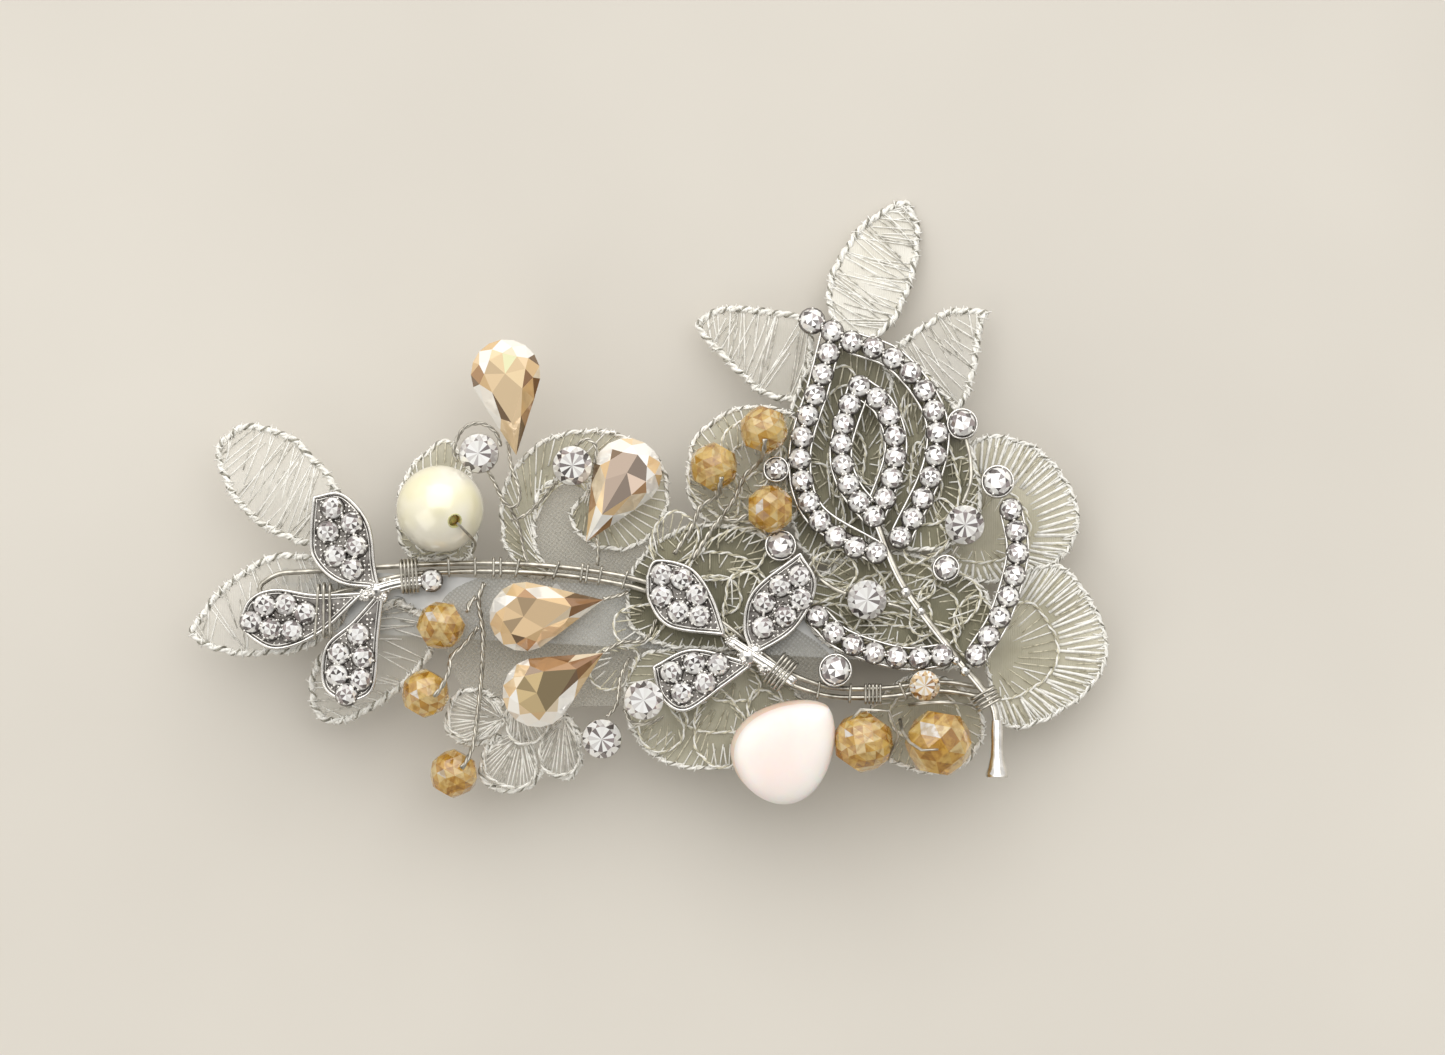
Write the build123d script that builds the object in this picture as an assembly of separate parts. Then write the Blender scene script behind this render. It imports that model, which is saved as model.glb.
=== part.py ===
from build123d import *
import math
import os

# Bridal hair clip. The frame's origin is the middle of the clasp arm's underside, where the clip
# rests. +X runs along the spray towards the large flower, +Y towards the three top leaves, +Z up.
# All sizes are in millimetres.

# ---- Barrette: sizes in its own frame, x along the bar, before it is turned to its heading ----
BAR_LENGTH = 76.0
BAR_WIDTH = 7.0
BAR_THICK = 0.8
BAR_Z = 7.8
BAR_HEADING = -3.0
SEWING_HOLE_R = 1.0
SEWING_HOLE_X = 27.0
ARM_WIDTH = 6.0
ARM_THICK = 0.9
PIN_X = 34.0
PIN_Z = 4.2
PIN_R = 0.75
PIN_FIT = 0.05
PIN_HEAD_R = 1.2
PIN_HEAD_THICK = 0.4
KNUCKLE_R = 1.7
KNUCKLE_WIDTH = 5.0
HINGE_EAR_GAP = 0.1
HINGE_EAR_THICK = 0.6
LATCH_X = -34.0
LATCH_LENGTH = 2.4
LATCH_STEP_Z = 1.5
LATCH_SLOT_WIDTH = 4.2
LATCH_EAR_Y = 1.5
LATCH_EAR_THICK = 0.4
LATCH_TOP_GAP = 0.1
HOOK_REACH = 0.6
HOOK_Z = 0.6
HOOK_HEIGHT = 0.7
TAB_END_X = -40.0
TAB_BEND = 2.0
TAB_LOW_Z = 2.9
TAB_HIGH_Z = 6.6
BOW_HALF = 28.0
BOW_THICK = 0.4
BOW_WIDTH = 3.5
BOW_LOW_Z = 5.6

# ---- Spray: heights of its layers ----
LACE_THICK = 0.4
TULLE_THICK = 0.15
TULLE_Z = 8.65
VINE_Z = 10.9
VINE_WIRE = 0.6
FINE_WIRE = 0.3
TWISTED_WIRE = 0.7
STALK_WIRE = 0.45
LEAF_Z = 12.2
LEAF_THICK = 0.7
STEM_Z = 12.7
CASTING_STEM_R = 0.75
SMALL_STONE_R = 1.1
PAVE_STONE_R = 1.16
TOP_STONE_R = 1.3
STONE_HEIGHT = 1.0

# ---- Feather: it and the lace behind it tip down towards +Y from this line ----
TILT_LINE_Y = -4.0
TILT_LINE_Z = 9.0
TILT = -5.5
FEATHER_LIFT = 2.4
FEATHER_THICK = 1.0
FEATHER_WIDTH = 1.9

BAR_PLACE = Rotation(0, 0, BAR_HEADING)
FEATHER_PLACE = Pos(0, TILT_LINE_Y, TILT_LINE_Z) * Rotation(TILT, 0, 0) * Pos(0, -TILT_LINE_Y, 0)


def write(node, *solids):
    """Write one node's solids to its own file."""
    pieces = [solid for shape in solids for solid in shape.solids()]
    body = Compound(children=pieces) if len(pieces) > 1 else pieces[0]
    body.label = node
    export_step(body, f"parts/{node}.step")


def block(x0, x1, y0, y1, z0, z1):
    """A box between two corners."""
    return Pos((x0 + x1) / 2, (y0 + y1) / 2, (z0 + z1) / 2) * Box(x1 - x0, y1 - y0, z1 - z0)


def cross_rod(radius, width, x, z):
    """A rod along the bar frame's y."""
    return Pos(x, 0, z) * Rotation(90, 0, 0) * Cylinder(radius, width)


# ---------------------------------------------------------------- barrette


def base_bar():
    """The bar that the spray is sewn to, with its two hinge ears."""
    bar = Pos(0, 0, BAR_Z) * extrude(SlotOverall(BAR_LENGTH, BAR_WIDTH), BAR_THICK)
    for side in (-1, 1):
        bar -= Pos(side * SEWING_HOLE_X, 0, BAR_Z + BAR_THICK / 2) * Cylinder(SEWING_HOLE_R, 2 * BAR_THICK)
        inner = KNUCKLE_WIDTH / 2 + HINGE_EAR_GAP
        outer = inner + HINGE_EAR_THICK
        y0, y1 = sorted((side * inner, side * outer))
        ear = block(PIN_X - KNUCKLE_R, PIN_X + KNUCKLE_R, y0, y1, PIN_Z, BAR_Z + BAR_THICK / 2)
        ear += Pos(0, (y0 + y1) / 2, 0) * cross_rod(KNUCKLE_R, HINGE_EAR_THICK, PIN_X, PIN_Z)
        bar += ear
    return bar - cross_rod(PIN_R + 0.01, 2 * BAR_WIDTH, PIN_X, PIN_Z)


def clasp_arm():
    """The arm under the hair, with a knuckle at the pin and a slotted step at the latch."""
    half = ARM_WIDTH / 2
    step_x = LATCH_X + LATCH_LENGTH + 0.6
    step_top = LATCH_STEP_Z + ARM_THICK
    arm = block(step_x - ARM_THICK, PIN_X, -half, half, 0, ARM_THICK)
    arm += block(step_x - ARM_THICK, step_x, -half, half, 0, step_top)
    arm += block(LATCH_X - LATCH_LENGTH, step_x, -half, half, LATCH_STEP_Z, step_top)
    knuckle_half = KNUCKLE_WIDTH / 2
    arm += block(PIN_X - 1.1, PIN_X + 1.1, -knuckle_half, knuckle_half, 0, PIN_Z)
    arm += cross_rod(KNUCKLE_R, KNUCKLE_WIDTH, PIN_X, PIN_Z)
    arm -= cross_rod(PIN_R + PIN_FIT, 2 * BAR_WIDTH, PIN_X, PIN_Z)
    slot_half = LATCH_LENGTH / 2 + 0.3
    slot_side = LATCH_SLOT_WIDTH / 2
    return arm - block(LATCH_X - slot_half, LATCH_X + slot_half, -slot_side, slot_side, 1, 4)


def hinge_pin():
    """A rivet through the hinge ears and the arm's knuckle."""
    outer = KNUCKLE_WIDTH / 2 + HINGE_EAR_GAP + HINGE_EAR_THICK + 0.02
    pin = cross_rod(PIN_R, 2 * outer, PIN_X, PIN_Z)
    for side in (-1, 1):
        head = cross_rod(PIN_HEAD_R, PIN_HEAD_THICK, PIN_X, PIN_Z)
        pin += Pos(0, side * (outer + PIN_HEAD_THICK / 2), 0) * head
    return pin


def tension_bow():
    """The arched strip that presses the hair onto the arm. Its ends bear on the bar."""
    end_z = BAR_Z - 0.45
    low = ThreePointArc((-BOW_HALF, end_z), (0, BOW_LOW_Z), (BOW_HALF, end_z))
    high = ThreePointArc(
        (BOW_HALF, end_z + BOW_THICK), (0, BOW_LOW_Z + BOW_THICK), (-BOW_HALF, end_z + BOW_THICK)
    )
    sides = [Line(low @ 1, high @ 0), Line(high @ 1, low @ 0)]
    strip = extrude(Plane.XZ * make_face([low, high, *sides]), BOW_WIDTH / 2, both=True)
    for side in (-1, 1):
        x0, x1 = sorted((side * (BOW_HALF - 0.4), side * (BOW_HALF + 1.6)))
        strip += block(x0, x1, -BOW_WIDTH / 2, BOW_WIDTH / 2, end_z, BAR_Z)
    return strip


def latch_ear(side):
    """One sprung ear: a hook under the arm's step and a bent tab to squeeze."""
    half = LATCH_LENGTH / 2
    inner, outer = LATCH_EAR_Y, LATCH_EAR_Y + LATCH_EAR_THICK
    top = BAR_Z - LATCH_TOP_GAP
    ear = block(LATCH_X - half, LATCH_X + half, inner, outer, HOOK_Z, top)
    hook_top = HOOK_Z + HOOK_HEIGHT
    ear += block(LATCH_X - half, LATCH_X + half, inner, outer + HOOK_REACH, HOOK_Z, hook_top)
    ear += block(TAB_END_X, LATCH_X, inner, outer, TAB_LOW_Z, TAB_HIGH_Z)
    bent_x = TAB_END_X - LATCH_EAR_THICK
    ear += block(bent_x, TAB_END_X, inner, inner + TAB_BEND, TAB_LOW_Z, TAB_HIGH_Z)
    return ear if side > 0 else mirror(ear, Plane.XZ)


# ---------------------------------------------------------------- lace


def outline(strokes):
    """A closed outline: each stroke is a smooth curve, or a straight line if it has two points."""
    edges = [Line(*stroke) if len(stroke) == 2 else Spline(*stroke) for stroke in strokes]
    return make_face(edges)


def sloped(x, y, root, heading, slope):
    """A plan point's place on a sheet that slopes down from its root along a heading."""
    dx, dy = x - root[0], y - root[1]
    c, s = math.cos(math.radians(heading)), math.sin(math.radians(heading))
    along = (dx * c + dy * s) / math.cos(math.radians(slope))
    return along, dy * c - dx * s


def lace_piece(strokes, root, heading, slope):
    """A thin plate with a plan outline, sloping down from root=(x, y, z) along a heading."""
    h, s = math.radians(heading), math.radians(slope)
    along = (math.cos(h) * math.cos(s), math.sin(h) * math.cos(s), -math.sin(s))
    normal = (math.cos(h) * math.sin(s), math.sin(h) * math.sin(s), math.cos(s))
    sheet = Plane(origin=root, x_dir=along, z_dir=normal)
    local = [[sloped(x, y, root, heading, slope) for x, y in stroke] for stroke in strokes]
    return extrude(sheet * outline(local), LACE_THICK)


def closed(points):
    """One stroke that comes back to its first point."""
    return [[*points, points[0]]]


def tilted_z(y, lift):
    """The height of the feather's tilted plane at y, plus a lift."""
    return TILT_LINE_Z + (y - TILT_LINE_Y) * math.tan(math.radians(TILT)) + lift


# Each lace piece: its plan strokes, its root, the heading it slopes down along, and its slope.
LACE = {
    "lace_leaf_left_upper": (
        [
            [(-47.5, 18.8), (-45.0, 21.4), (-40.7, 21.0), (-35.6, 17.0), (-32.3, 10.5)],
            [(-32.3, 10.5), (-37.0, 8.6), (-43.4, 11.5), (-46.6, 15.6), (-47.5, 18.8)],
        ],
        (-32, 11, 9.3), 145, 9,
    ),
    "lace_leaf_left_middle": (
        [
            [(-50.6, -1.8), (-46.2, 3.7), (-40.7, 6.8), (-36.0, 6.6), (-32.3, 3.1)],
            [(-32.3, 3.1), (-36.6, -2.9), (-41.5, -4.0), (-48.5, -3.2), (-50.6, -1.8)],
        ],
        (-32, 2, 9.6), 190, 7,
    ),
    "lace_leaf_left_lower": (
        [
            [(-27.0, 1.9), (-22.9, -2.6), (-26.6, -7.7), (-33.0, -11.9)],
            [(-33.0, -11.9), (-36.2, -10.6), (-36.6, -6.9), (-32.8, -1.8), (-27.0, 1.9)],
        ],
        (-27, 1.5, 9.7), 245, 12,
    ),
    "lace_petal_pearl": (
        [
            [
                (-25.4, 6.6), (-27.0, 12.0), (-24.7, 17.8), (-21.4, 19.8), (-19.4, 17.4), (-17.9, 12.0),
                (-18.6, 6.6),
            ],
            [(-18.6, 6.6), (-25.4, 6.6)],
        ],
        (-22, 6.6, 9.2), 95, 17,
    ),
    "lace_swirl": (
        [
            [
                (-12.4, 4.8), (-15.1, 11.0), (-12.8, 17.9), (-5.0, 21.2), (3.0, 17.4),
                (2.8, 10.4), (-3.0, 7.8), (-7.1, 11.0), (-5.8, 13.5),
            ],
            [(-5.8, 13.5), (-5.2, 16.0), (-9.3, 15.6), (-11.3, 12.0), (-9.2, 4.8)],
            [(-9.2, 4.8), (-12.4, 4.8)],
        ],
        (-8, 5, 9.2), 90, 1,
    ),
    "lace_petal_right_beads": (
        closed(
            [
                (6.3, 16.6), (8.5, 22.0), (14.0, 23.8), (18.0, 23.0), (18.6, 17.0), (18.6, 12.0),
                (14.0, 9.4), (8.4, 10.8),
            ]
        ),
        (16, 9.3, 8.9), 90, 4,
    ),
    "lace_petal_middle": (
        closed(
            [
                (-0.6, 2.0), (1.5, 7.5), (5.2, 9.8), (10.5, 10.4), (15.5, 8.8), (18.4, 5.0),
                (18.2, -0.5), (13.0, -3.2), (5.5, -3.4), (0.4, -1.6),
            ]
        ),
        (8, 0, 9.75), 90, 1,
    ),
    "lace_petal_lower": (
        closed(
            [
                (-0.9, -9.0), (0.6, -14.0), (5.2, -16.9), (11.4, -16.9), (17.6, -15.6),
                (19.2, -10.0), (14.5, -4.8), (7.5, -3.8), (1.0, -4.4),
            ]
        ),
        (9, -4, 9.25), 270, 2,
    ),
    "lace_petal_lower_right": (
        closed([(27.0, -10.4), (27.6, -14.6), (31.8, -17.4), (37.2, -16.9), (39.8, -13.2), (39.0, -10.2)]),
        (33, -10, 8.2), 270, 8,
    ),
    "lace_petal_feather_left": (
        closed(
            [
                (18.9, 8.0), (17.2, 16.0), (18.8, 26.0), (23.6, 31.6), (28.6, 28.4), (30.0, 18.0),
                (27.4, 9.4), (22.6, 6.4),
            ]
        ),
        (22, 6, tilted_z(6, 0.75)), 90, -TILT,
    ),
    "lace_petal_feather_right": (
        closed(
            [
                (27.6, 12.5), (28.8, 22.0), (30.8, 29.2), (35.6, 25.0), (39.0, 17.0), (38.4, 9.8),
                (33.0, 7.6),
            ]
        ),
        (33, 8, tilted_z(8, 1.25)), 90, -TILT,
    ),
    "lace_petal_feather_lower": (
        closed(
            [
                (20.4, 3.6), (26.0, 7.0), (34.0, 6.4), (40.4, 2.0), (40.0, -4.4), (32.0, -5.6),
                (24.2, -4.2), (19.9, -0.6),
            ]
        ),
        (30, 0, tilted_z(0, 0.25)), 90, -TILT,
    ),
    "lace_petal_right_upper": (
        closed(
            [
                (35.2, 14.0), (36.6, 18.4), (42.0, 20.6), (47.4, 17.9), (50.8, 11.4), (48.8, 6.8),
                (43.8, 4.4), (37.2, 4.4),
            ]
        ),
        (36, 12, tilted_z(12, -0.9)), 20, 8,
    ),
    "lace_petal_right_lower": (
        closed(
            [
                (39.4, -2.0), (42.2, 3.4), (48.2, 5.8), (52.4, 1.2), (54.1, -3.2), (52.0, -8.0),
                (46.6, -11.8), (42.4, -12.4), (40.6, -8.0),
            ]
        ),
        (40, -3, 7.9), 0, 10,
    ),
    "lace_leaf_top_left": (
        [
            [(7.3, 33.4), (10.0, 35.0), (15.9, 34.8), (19.8, 33.6), (20.3, 30.4), (18.9, 25.0)],
            [(18.9, 25.0), (15.9, 25.1), (11.5, 28.7), (8.6, 31.5), (7.3, 33.4)],
        ],
        (19.5, 29, 5.5), 155, 10,
    ),
    "lace_leaf_top_centre": (
        [
            [(31.2, 47.6), (27.3, 45.6), (23.3, 40.6), (22.3, 36.0), (24.4, 31.6)],
            [(24.4, 31.6), (29.2, 33.4), (31.6, 38.5), (32.5, 44.4), (31.2, 47.6)],
        ],
        (25, 32, 4.95), 65, 16.4,
    ),
    "lace_leaf_top_right": (
        [
            [(28.4, 29.6), (31.4, 31.7), (35.2, 34.4), (40.2, 34.7)],
            [(40.2, 34.7), (38.9, 29.0), (37.0, 24.2), (33.8, 23.4)],
            [(33.8, 23.4), (28.4, 29.6)],
        ],
        (33, 26, 5.5), 50, 10,
    ),
}


def small_flower():
    """Three petals round a centre, one piece of lace."""
    petals = [
        closed([(-20.9, -9.8), (-17.8, -8.2), (-14.8, -10.6), (-15.2, -13.0), (-19.0, -14.4)]),
        closed([(-17.0, -15.2), (-14.2, -13.2), (-10.6, -14.4), (-11.4, -18.8), (-16.2, -19.4)]),
        closed([(-10.6, -12.4), (-8.4, -10.8), (-6.2, -13.6), (-7.8, -18.2), (-10.8, -16.6)]),
        closed([(-15.6, -11.0), (-12.0, -9.0), (-9.0, -11.6), (-10.6, -14.8), (-14.6, -14.2)]),
    ]
    root, heading, slope = (-12, -9, 9.3), 270, 12
    flower = lace_piece(petals[0], root, heading, slope)
    for petal in petals[1:]:
        flower += lace_piece(petal, root, heading, slope)
    return flower


def tulle():
    """The fine net that the lace is sewn to, flat on the bar."""
    edge = [
        (-21.0, -5.0), (-18.0, -9.4), (-6.0, -10.2), (6.0, -11.0), (19.0, -10.5), (23.0, -6.5),
        (16.0, 0.0), (5.0, 7.6), (2.0, 14.6), (-5.5, 18.6), (-12.6, 15.0), (-15.0, 6.0), (-20.0, 3.5),
    ]
    return Pos(0, 0, TULLE_Z) * extrude(outline(closed(edge)), TULLE_THICK)


# ---------------------------------------------------------------- wires


def tube(points, diameter):
    """A round wire of straight runs joined by arcs as large as the runs allow."""
    points = [Vector(*p) for p in points]
    radii = []
    for before, corner, after in zip(points, points[1:], points[2:]):
        arriving, leaving = corner - before, after - corner
        half_turn = math.radians(arriving.get_angle(leaving)) / 2
        radii.append(0.45 * min(arriving.length, leaving.length) / math.tan(half_turn))
    path = FilletPolyline(*points, radius=radii) if radii else Line(*points)
    section = Plane(origin=path @ 0, z_dir=path % 0) * Circle(diameter / 2)
    return sweep(section, path=path)


def level(points, z):
    """Plan points at one height."""
    return [(x, y, z) for x, y in points]


VINE_WIRE_LINE = [
    (39.6, -8.0), (34.8, -7.2), (28.0, -8.2), (22.3, -8.1), (17.6, -6.5), (12.1, -2.0), (6.5, 1.9),
    (1.2, 4.2), (-4.5, 5.3), (-11.0, 6.0), (-18.6, 6.2), (-26.0, 5.9), (-35.0, 5.3), (-40.6, 5.0),
    (-42.8, 3.4), (-41.8, 1.8), (-38.0, 1.7), (-31.0, 3.6), (-26.0, 4.9), (-18.6, 5.3), (-11.0, 5.1),
    (-4.8, 4.4), (0.9, 3.3), (5.9, 1.1), (11.4, -2.8), (17.1, -7.5), (22.1, -9.1), (28.2, -9.2),
    (34.6, -8.2), (39.4, -9.0),
]


def vine_frame():
    """One wire bent back on itself, with a long eye at its left end."""
    return tube(level(VINE_WIRE_LINE, VINE_Z), VINE_WIRE)


def ring(width, low, high, diameter=FINE_WIRE):
    """A turn of fine wire round something width wide, standing from low to high, facing local x."""
    grow = diameter / 2
    side, bottom, top = width / 2 + grow, low - grow, high + grow
    corners = [(-side, bottom), (side, bottom), (side, top), (-side, top)]
    radius = 0.25 * min(2 * side, top - bottom)
    path = Wire(FilletPolyline(*corners, radius=radius, close=True).edges())
    section = Plane(origin=(side, (bottom + top) / 2, 0), z_dir=(0, 1, 0)) * Circle(grow)
    standing = sweep(section, path=path)
    return Rotation(0, 0, 90) * Rotation(90, 0, 0) * standing


def turns(solid, x, y, heading, count, pitch):
    """A row of copies of one turn, side by side along a heading."""
    start = -(count - 1) / 2 * pitch
    place = Pos(x, y, 0) * Rotation(0, 0, heading)
    return [place * Pos(start + i * pitch, 0, 0) * solid for i in range(count)]


def vine_bindings():
    """Single turns of fine wire along the vine, each with its own heading."""
    around = ring(1.7, VINE_Z - VINE_WIRE / 2 - 0.02, VINE_Z + VINE_WIRE / 2 + 0.02)
    places = [
        (-21.0, 5.7, 3), (-18.0, 5.75, 2), (-15.9, 5.7, 0), (-15.1, 5.7, 0), (-13.2, 5.65, -12),
        (-8.8, 5.35, -20), (-5.9, 5.05, -8), (-5.3, 4.95, -8), (-3.8, 4.75, -12), (-1.0, 4.25, -18),
        (21.0, -8.3, -10), (24.6, -8.65, -4), (30.6, -8.35, 25), (33.0, -7.95, 12),
    ]
    return [turn for x, y, heading in places for turn in turns(around, x, y, heading, 1, 0)]


def branch_bindings():
    """Tight wraps that hold the castings' stems to the vine, one on the vine, and the knot."""
    vine_low = VINE_Z - VINE_WIRE / 2 - 0.02
    stem_top = STEM_Z + 0.8
    left = turns(ring(3.4, vine_low, stem_top), -25.4, 4.7, 4, 5, 0.42)
    middle = turns(ring(3.6, vine_low, stem_top), 16.7, -6.2, -38, 5, 0.46)
    vine_only = turns(ring(1.8, vine_low, VINE_Z + VINE_WIRE / 2 + 0.02), 27.2, -8.7, 0, 5, 0.42)
    knot = turns(ring(2.6, vine_low, tilted_z(-9, FEATHER_LIFT + 1.4)), 40.0, -9.2, -60, 4, 0.5)
    return [*left, *middle, *vine_only, *knot]


def left_end_bindings():
    """Three tall turns that tie the vine's eye and the casting's left leaf together."""
    around = ring(5.8, VINE_Z - VINE_WIRE / 2 - 0.02, LEAF_Z + LEAF_THICK + 0.1)
    return [
        *turns(around, -35.9, 0.65, -4, 1, 0),
        *turns(around, -35.1, 0.8, 0, 1, 0),
        *turns(around, -34.4, 0.7, 0, 1, 0),
    ]


# Each twisted wire: its diameter and its points.
WIRES = {
    "left_bead_wire": (
        TWISTED_WIRE,
        [
            [(-17.0, 3.9, 11.0), (-17.6, 1.8, 11.2), (-17.1, -1.9, 11.3), (-17.3, -7.0, 11.2),
             (-17.8, -11.6, 10.9), (-18.5, -14.9, 10.2)],
            [(-17.9, 2.3, 11.6), (-18.6, 1.6, 12.0), (-18.8, 0.6, 12.4)],
            [(-17.6, -1.1, 12.1), (-19.1, -3.4, 12.0), (-21.1, -5.4, 11.9)],
        ],
    ),
    "right_bead_wire": (
        TWISTED_WIRE,
        [
            [(14.0, 18.0, 11.4), (12.6, 16.0, 11.4), (11.3, 13.2, 11.3), (8.8, 9.8, 11.2), (6.7, 6.6, 11.3)],
            [(8.9, 13.8, 11.6), (7.5, 12.4, 11.4), (6.6, 10.2, 11.3), (4.6, 7.2, 11.3)],
            [(12.7, 11.5, 12.4), (11.8, 11.0, 12.3), (10.9, 11.0, 12.2)],
        ],
    ),
    "pearl_wire": (
        FINE_WIRE,
        [[(-19.8, 10.75, 17.7), (-18.5, 9.4, 16.6), (-17.7, 8.4, 14.0), (-18.3, 7.3, 11.4)]],
    ),
    "upper_crystal_wires": (
        STALK_WIRE,
        [
            [
                (-13.3, 17.8, 12.0), (-13.0, 15.4, 12.0), (-13.3, 13.2, 12.0), (-14.5, 12.7, 12.0),
                (-15.6, 15.6, 12.2),
            ],
            [(-20.3, 18.4, 13.4), (-19.8, 20.8, 13.5), (-17.9, 21.8, 13.5), (-15.9, 21.1, 13.4)],
            [
                (-8.9, 15.6, 12.4), (-10.9, 13.6, 11.2), (-14.0, 10.8, 10.8), (-12.9, 9.0, 10.8),
                (-12.6, 6.7, 10.9),
            ],
            [(-4.6, 7.8, 11.6), (-4.0, 6.8, 11.4), (-4.1, 5.9, 11.0)],
        ],
    ),
    "lower_crystal_wires": (
        STALK_WIRE,
        [
            [(-2.9, 2.2, 12.4), (-1.6, 2.5, 11.8), (-0.6, 2.9, 11.2)],
            [(-2.9, -3.7, 12.4), (-1.3, -2.8, 11.6), (1.3, -2.6, 11.0), (2.6, -0.2, 10.8)],
            [(-1.0, -10.4, 13.6), (-0.2, -11.8, 13.8), (1.6, -12.0, 13.8), (3.4, -11.2, 13.6)],
            [(-3.0, -11.3, 11.9), (-1.9, -9.8, 11.2), (-1.5, -7.0, 10.8), (-0.5, -4.6, 10.8)],
        ],
    ),
    "right_chaton_wires": (
        STALK_WIRE,
        [
            [(24.1, 2.7, 12.0), (22.6, 3.3, 11.8), (21.2, 4.3, 11.6)],
            [(28.9, 1.5, 12.0), (30.2, 1.2, 12.0), (31.2, 0.6, 11.8)],
            [(37.4, 13.0, 11.2), (38.4, 15.4, 11.0), (38.3, 18.2, 10.6), (37.8, 20.2, 10.2)],
            [(36.9, 8.1, 11.0), (36.5, 7.5, 10.8), (36.2, 6.9, 10.6)],
        ],
    ),
    "large_bead_wires": (
        STALK_WIRE,
        [
            [
                (24.0, -10.0, 12.0), (26.2, -9.9, 13.2), (28.4, -10.3, 14.6), (29.9, -12.2, 15.0),
                (29.7, -15.2, 14.4),
            ],
            [(31.2, -9.9, 14.6), (33.2, -10.2, 16.0), (36.2, -10.1, 14.8), (38.4, -10.0, 12.6)],
        ],
    ),
}


# ---------------------------------------------------------------- castings


def leaf_plates(leaves, hub, hub_radius):
    """The three leaves of a casting and the round hub where they meet, as one plate."""
    plate = Pos(*hub) * Circle(hub_radius)
    for strokes in leaves:
        plate += outline(strokes)
    return Pos(0, 0, LEAF_Z) * extrude(plate, LEAF_THICK)


def stem(points, radius):
    """A casting's stem, standing a little proud of its leaves."""
    return tube(level(points, STEM_Z), 2 * radius)


LEFT_LEAVES = [
    [
        [(-36.2, 13.6), (-33.0, 13.9), (-30.1, 10.6), (-29.4, 5.8), (-28.9, 3.4)],
        [(-28.9, 3.4), (-33.4, 4.1), (-36.2, 6.8), (-36.5, 10.0), (-36.2, 13.6)],
    ],
    [
        [(-44.6, -0.6), (-43.4, 2.0), (-40.6, 3.1), (-36.1, 2.5), (-30.8, 2.7)],
        [(-30.8, 2.7), (-35.5, -1.6), (-40.2, -3.5), (-43.2, -2.3), (-44.6, -0.6)],
    ],
    [
        [(-28.4, 3.2), (-29.0, -2.2), (-29.6, -8.0), (-32.4, -9.7)],
        [(-32.4, -9.7), (-35.0, -7.8), (-34.8, -3.4), (-31.8, -0.6), (-28.4, 3.2)],
    ],
]
LEFT_STONES = [
    (-34.1, 12.4), (-31.9, 10.7), (-34.6, 9.7), (-31.4, 8.1), (-33.8, 7.0), (-31.9, 5.5),
    (-41.8, 1.4), (-39.4, 1.5), (-37.2, 0.5), (-43.3, -0.5), (-41.1, -1.3), (-38.7, -1.5),
    (-31.2, -1.9), (-33.4, -4.1), (-30.6, -4.5), (-33.6, -6.5), (-30.9, -7.0), (-32.5, -8.7),
]
MIDDLE_LEAVES = [
    [
        [(1.6, 4.6), (2.6, 6.4), (6.5, 5.5), (8.8, 2.4), (10.3, -1.9)],
        [(10.3, -1.9), (4.2, -1.0), (1.9, 1.8), (1.6, 4.6)],
    ],
    [
        [(18.9, 7.2), (20.6, 3.6), (18.2, -1.2), (13.6, -4.2)],
        [(13.6, -4.2), (12.6, -1.0), (13.7, 3.0), (18.9, 7.2)],
    ],
    [
        [(2.3, -5.6), (6.8, -3.7), (13.4, -5.3)],
        [(13.4, -5.3), (10.0, -7.8), (5.9, -10.5), (3.2, -9.0), (2.3, -5.6)],
    ],
]
MIDDLE_STONES = [
    (3.2, 4.9), (5.5, 4.4), (7.2, 2.6), (3.2, 2.4), (5.1, 0.7), (7.5, 0.2),
    (18.8, 4.7), (16.6, 3.6), (14.8, 1.7), (19.0, 2.1), (17.2, 0.2), (14.7, -1.1),
    (4.3, -6.2), (6.9, -5.2), (9.6, -5.3), (8.1, -7.4), (5.5, -8.5),
]


def stone(radius, height):
    """A round rhinestone: a straight girdle and a tapering crown under a flat table."""
    girdle = 0.4 * height
    profile = Polyline(
        (0, 0), (radius, 0), (radius, girdle), (0.6 * radius, height), (0, height), close=True
    )
    return revolve(Plane.XZ * make_face(profile), Axis.Z)


def stones_at(places, z, radius):
    """Equal stones standing at one height."""
    one = stone(radius, STONE_HEIGHT)
    return [Pos(x, y, z) * one for x, y in places]


def left_casting():
    plates = leaf_plates(LEFT_LEAVES, (-29.4, 2.9), 1.8)
    ball = Pos(-22.9, 4.2, STEM_Z) * Sphere(1.2)
    return plates + stem([(-30.2, 2.9), (-26.6, 3.9), (-23.4, 4.2)], CASTING_STEM_R) + ball


def middle_casting():
    plates = leaf_plates(MIDDLE_LEAVES, (12.1, -3.4), 2.8)
    return plates + stem([(12.2, -3.0), (15.0, -5.2), (18.3, -7.4)], CASTING_STEM_R)


# ---------------------------------------------------------------- feather

LEFT_ROW = [(22.6, 32.4), (21.1, 26.4), (18.9, 18.4), (20.5, 11.7), (27.6, 7.1)]
RIGHT_ROW = [(24.8, 31.2), (30.0, 29.0), (34.2, 23.2), (34.1, 17.0), (30.3, 8.8)]
INNER_RIGHT = [(25.7, 26.1), (28.6, 23.6), (29.8, 18.6), (27.3, 11.2)]
INNER_LEFT = [(27.3, 11.2), (24.4, 15.0), (23.6, 19.4), (25.7, 26.1)]
RIGHT_ARM = [(42.9, 12.0), (43.6, 6.9), (41.7, 0.1), (38.9, -4.6)]
LEFT_ARM = [(20.9, -0.2), (24.0, -2.9), (30.4, -4.9), (35.0, -4.6)]
FEATHER_STEM = [(27.3, 11.2), (30.6, 3.4), (36.2, -4.3), (40.4, -9.6), (41.2, -12.4)]
TOP_STONES = [(20.3, 33.6)]


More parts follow.
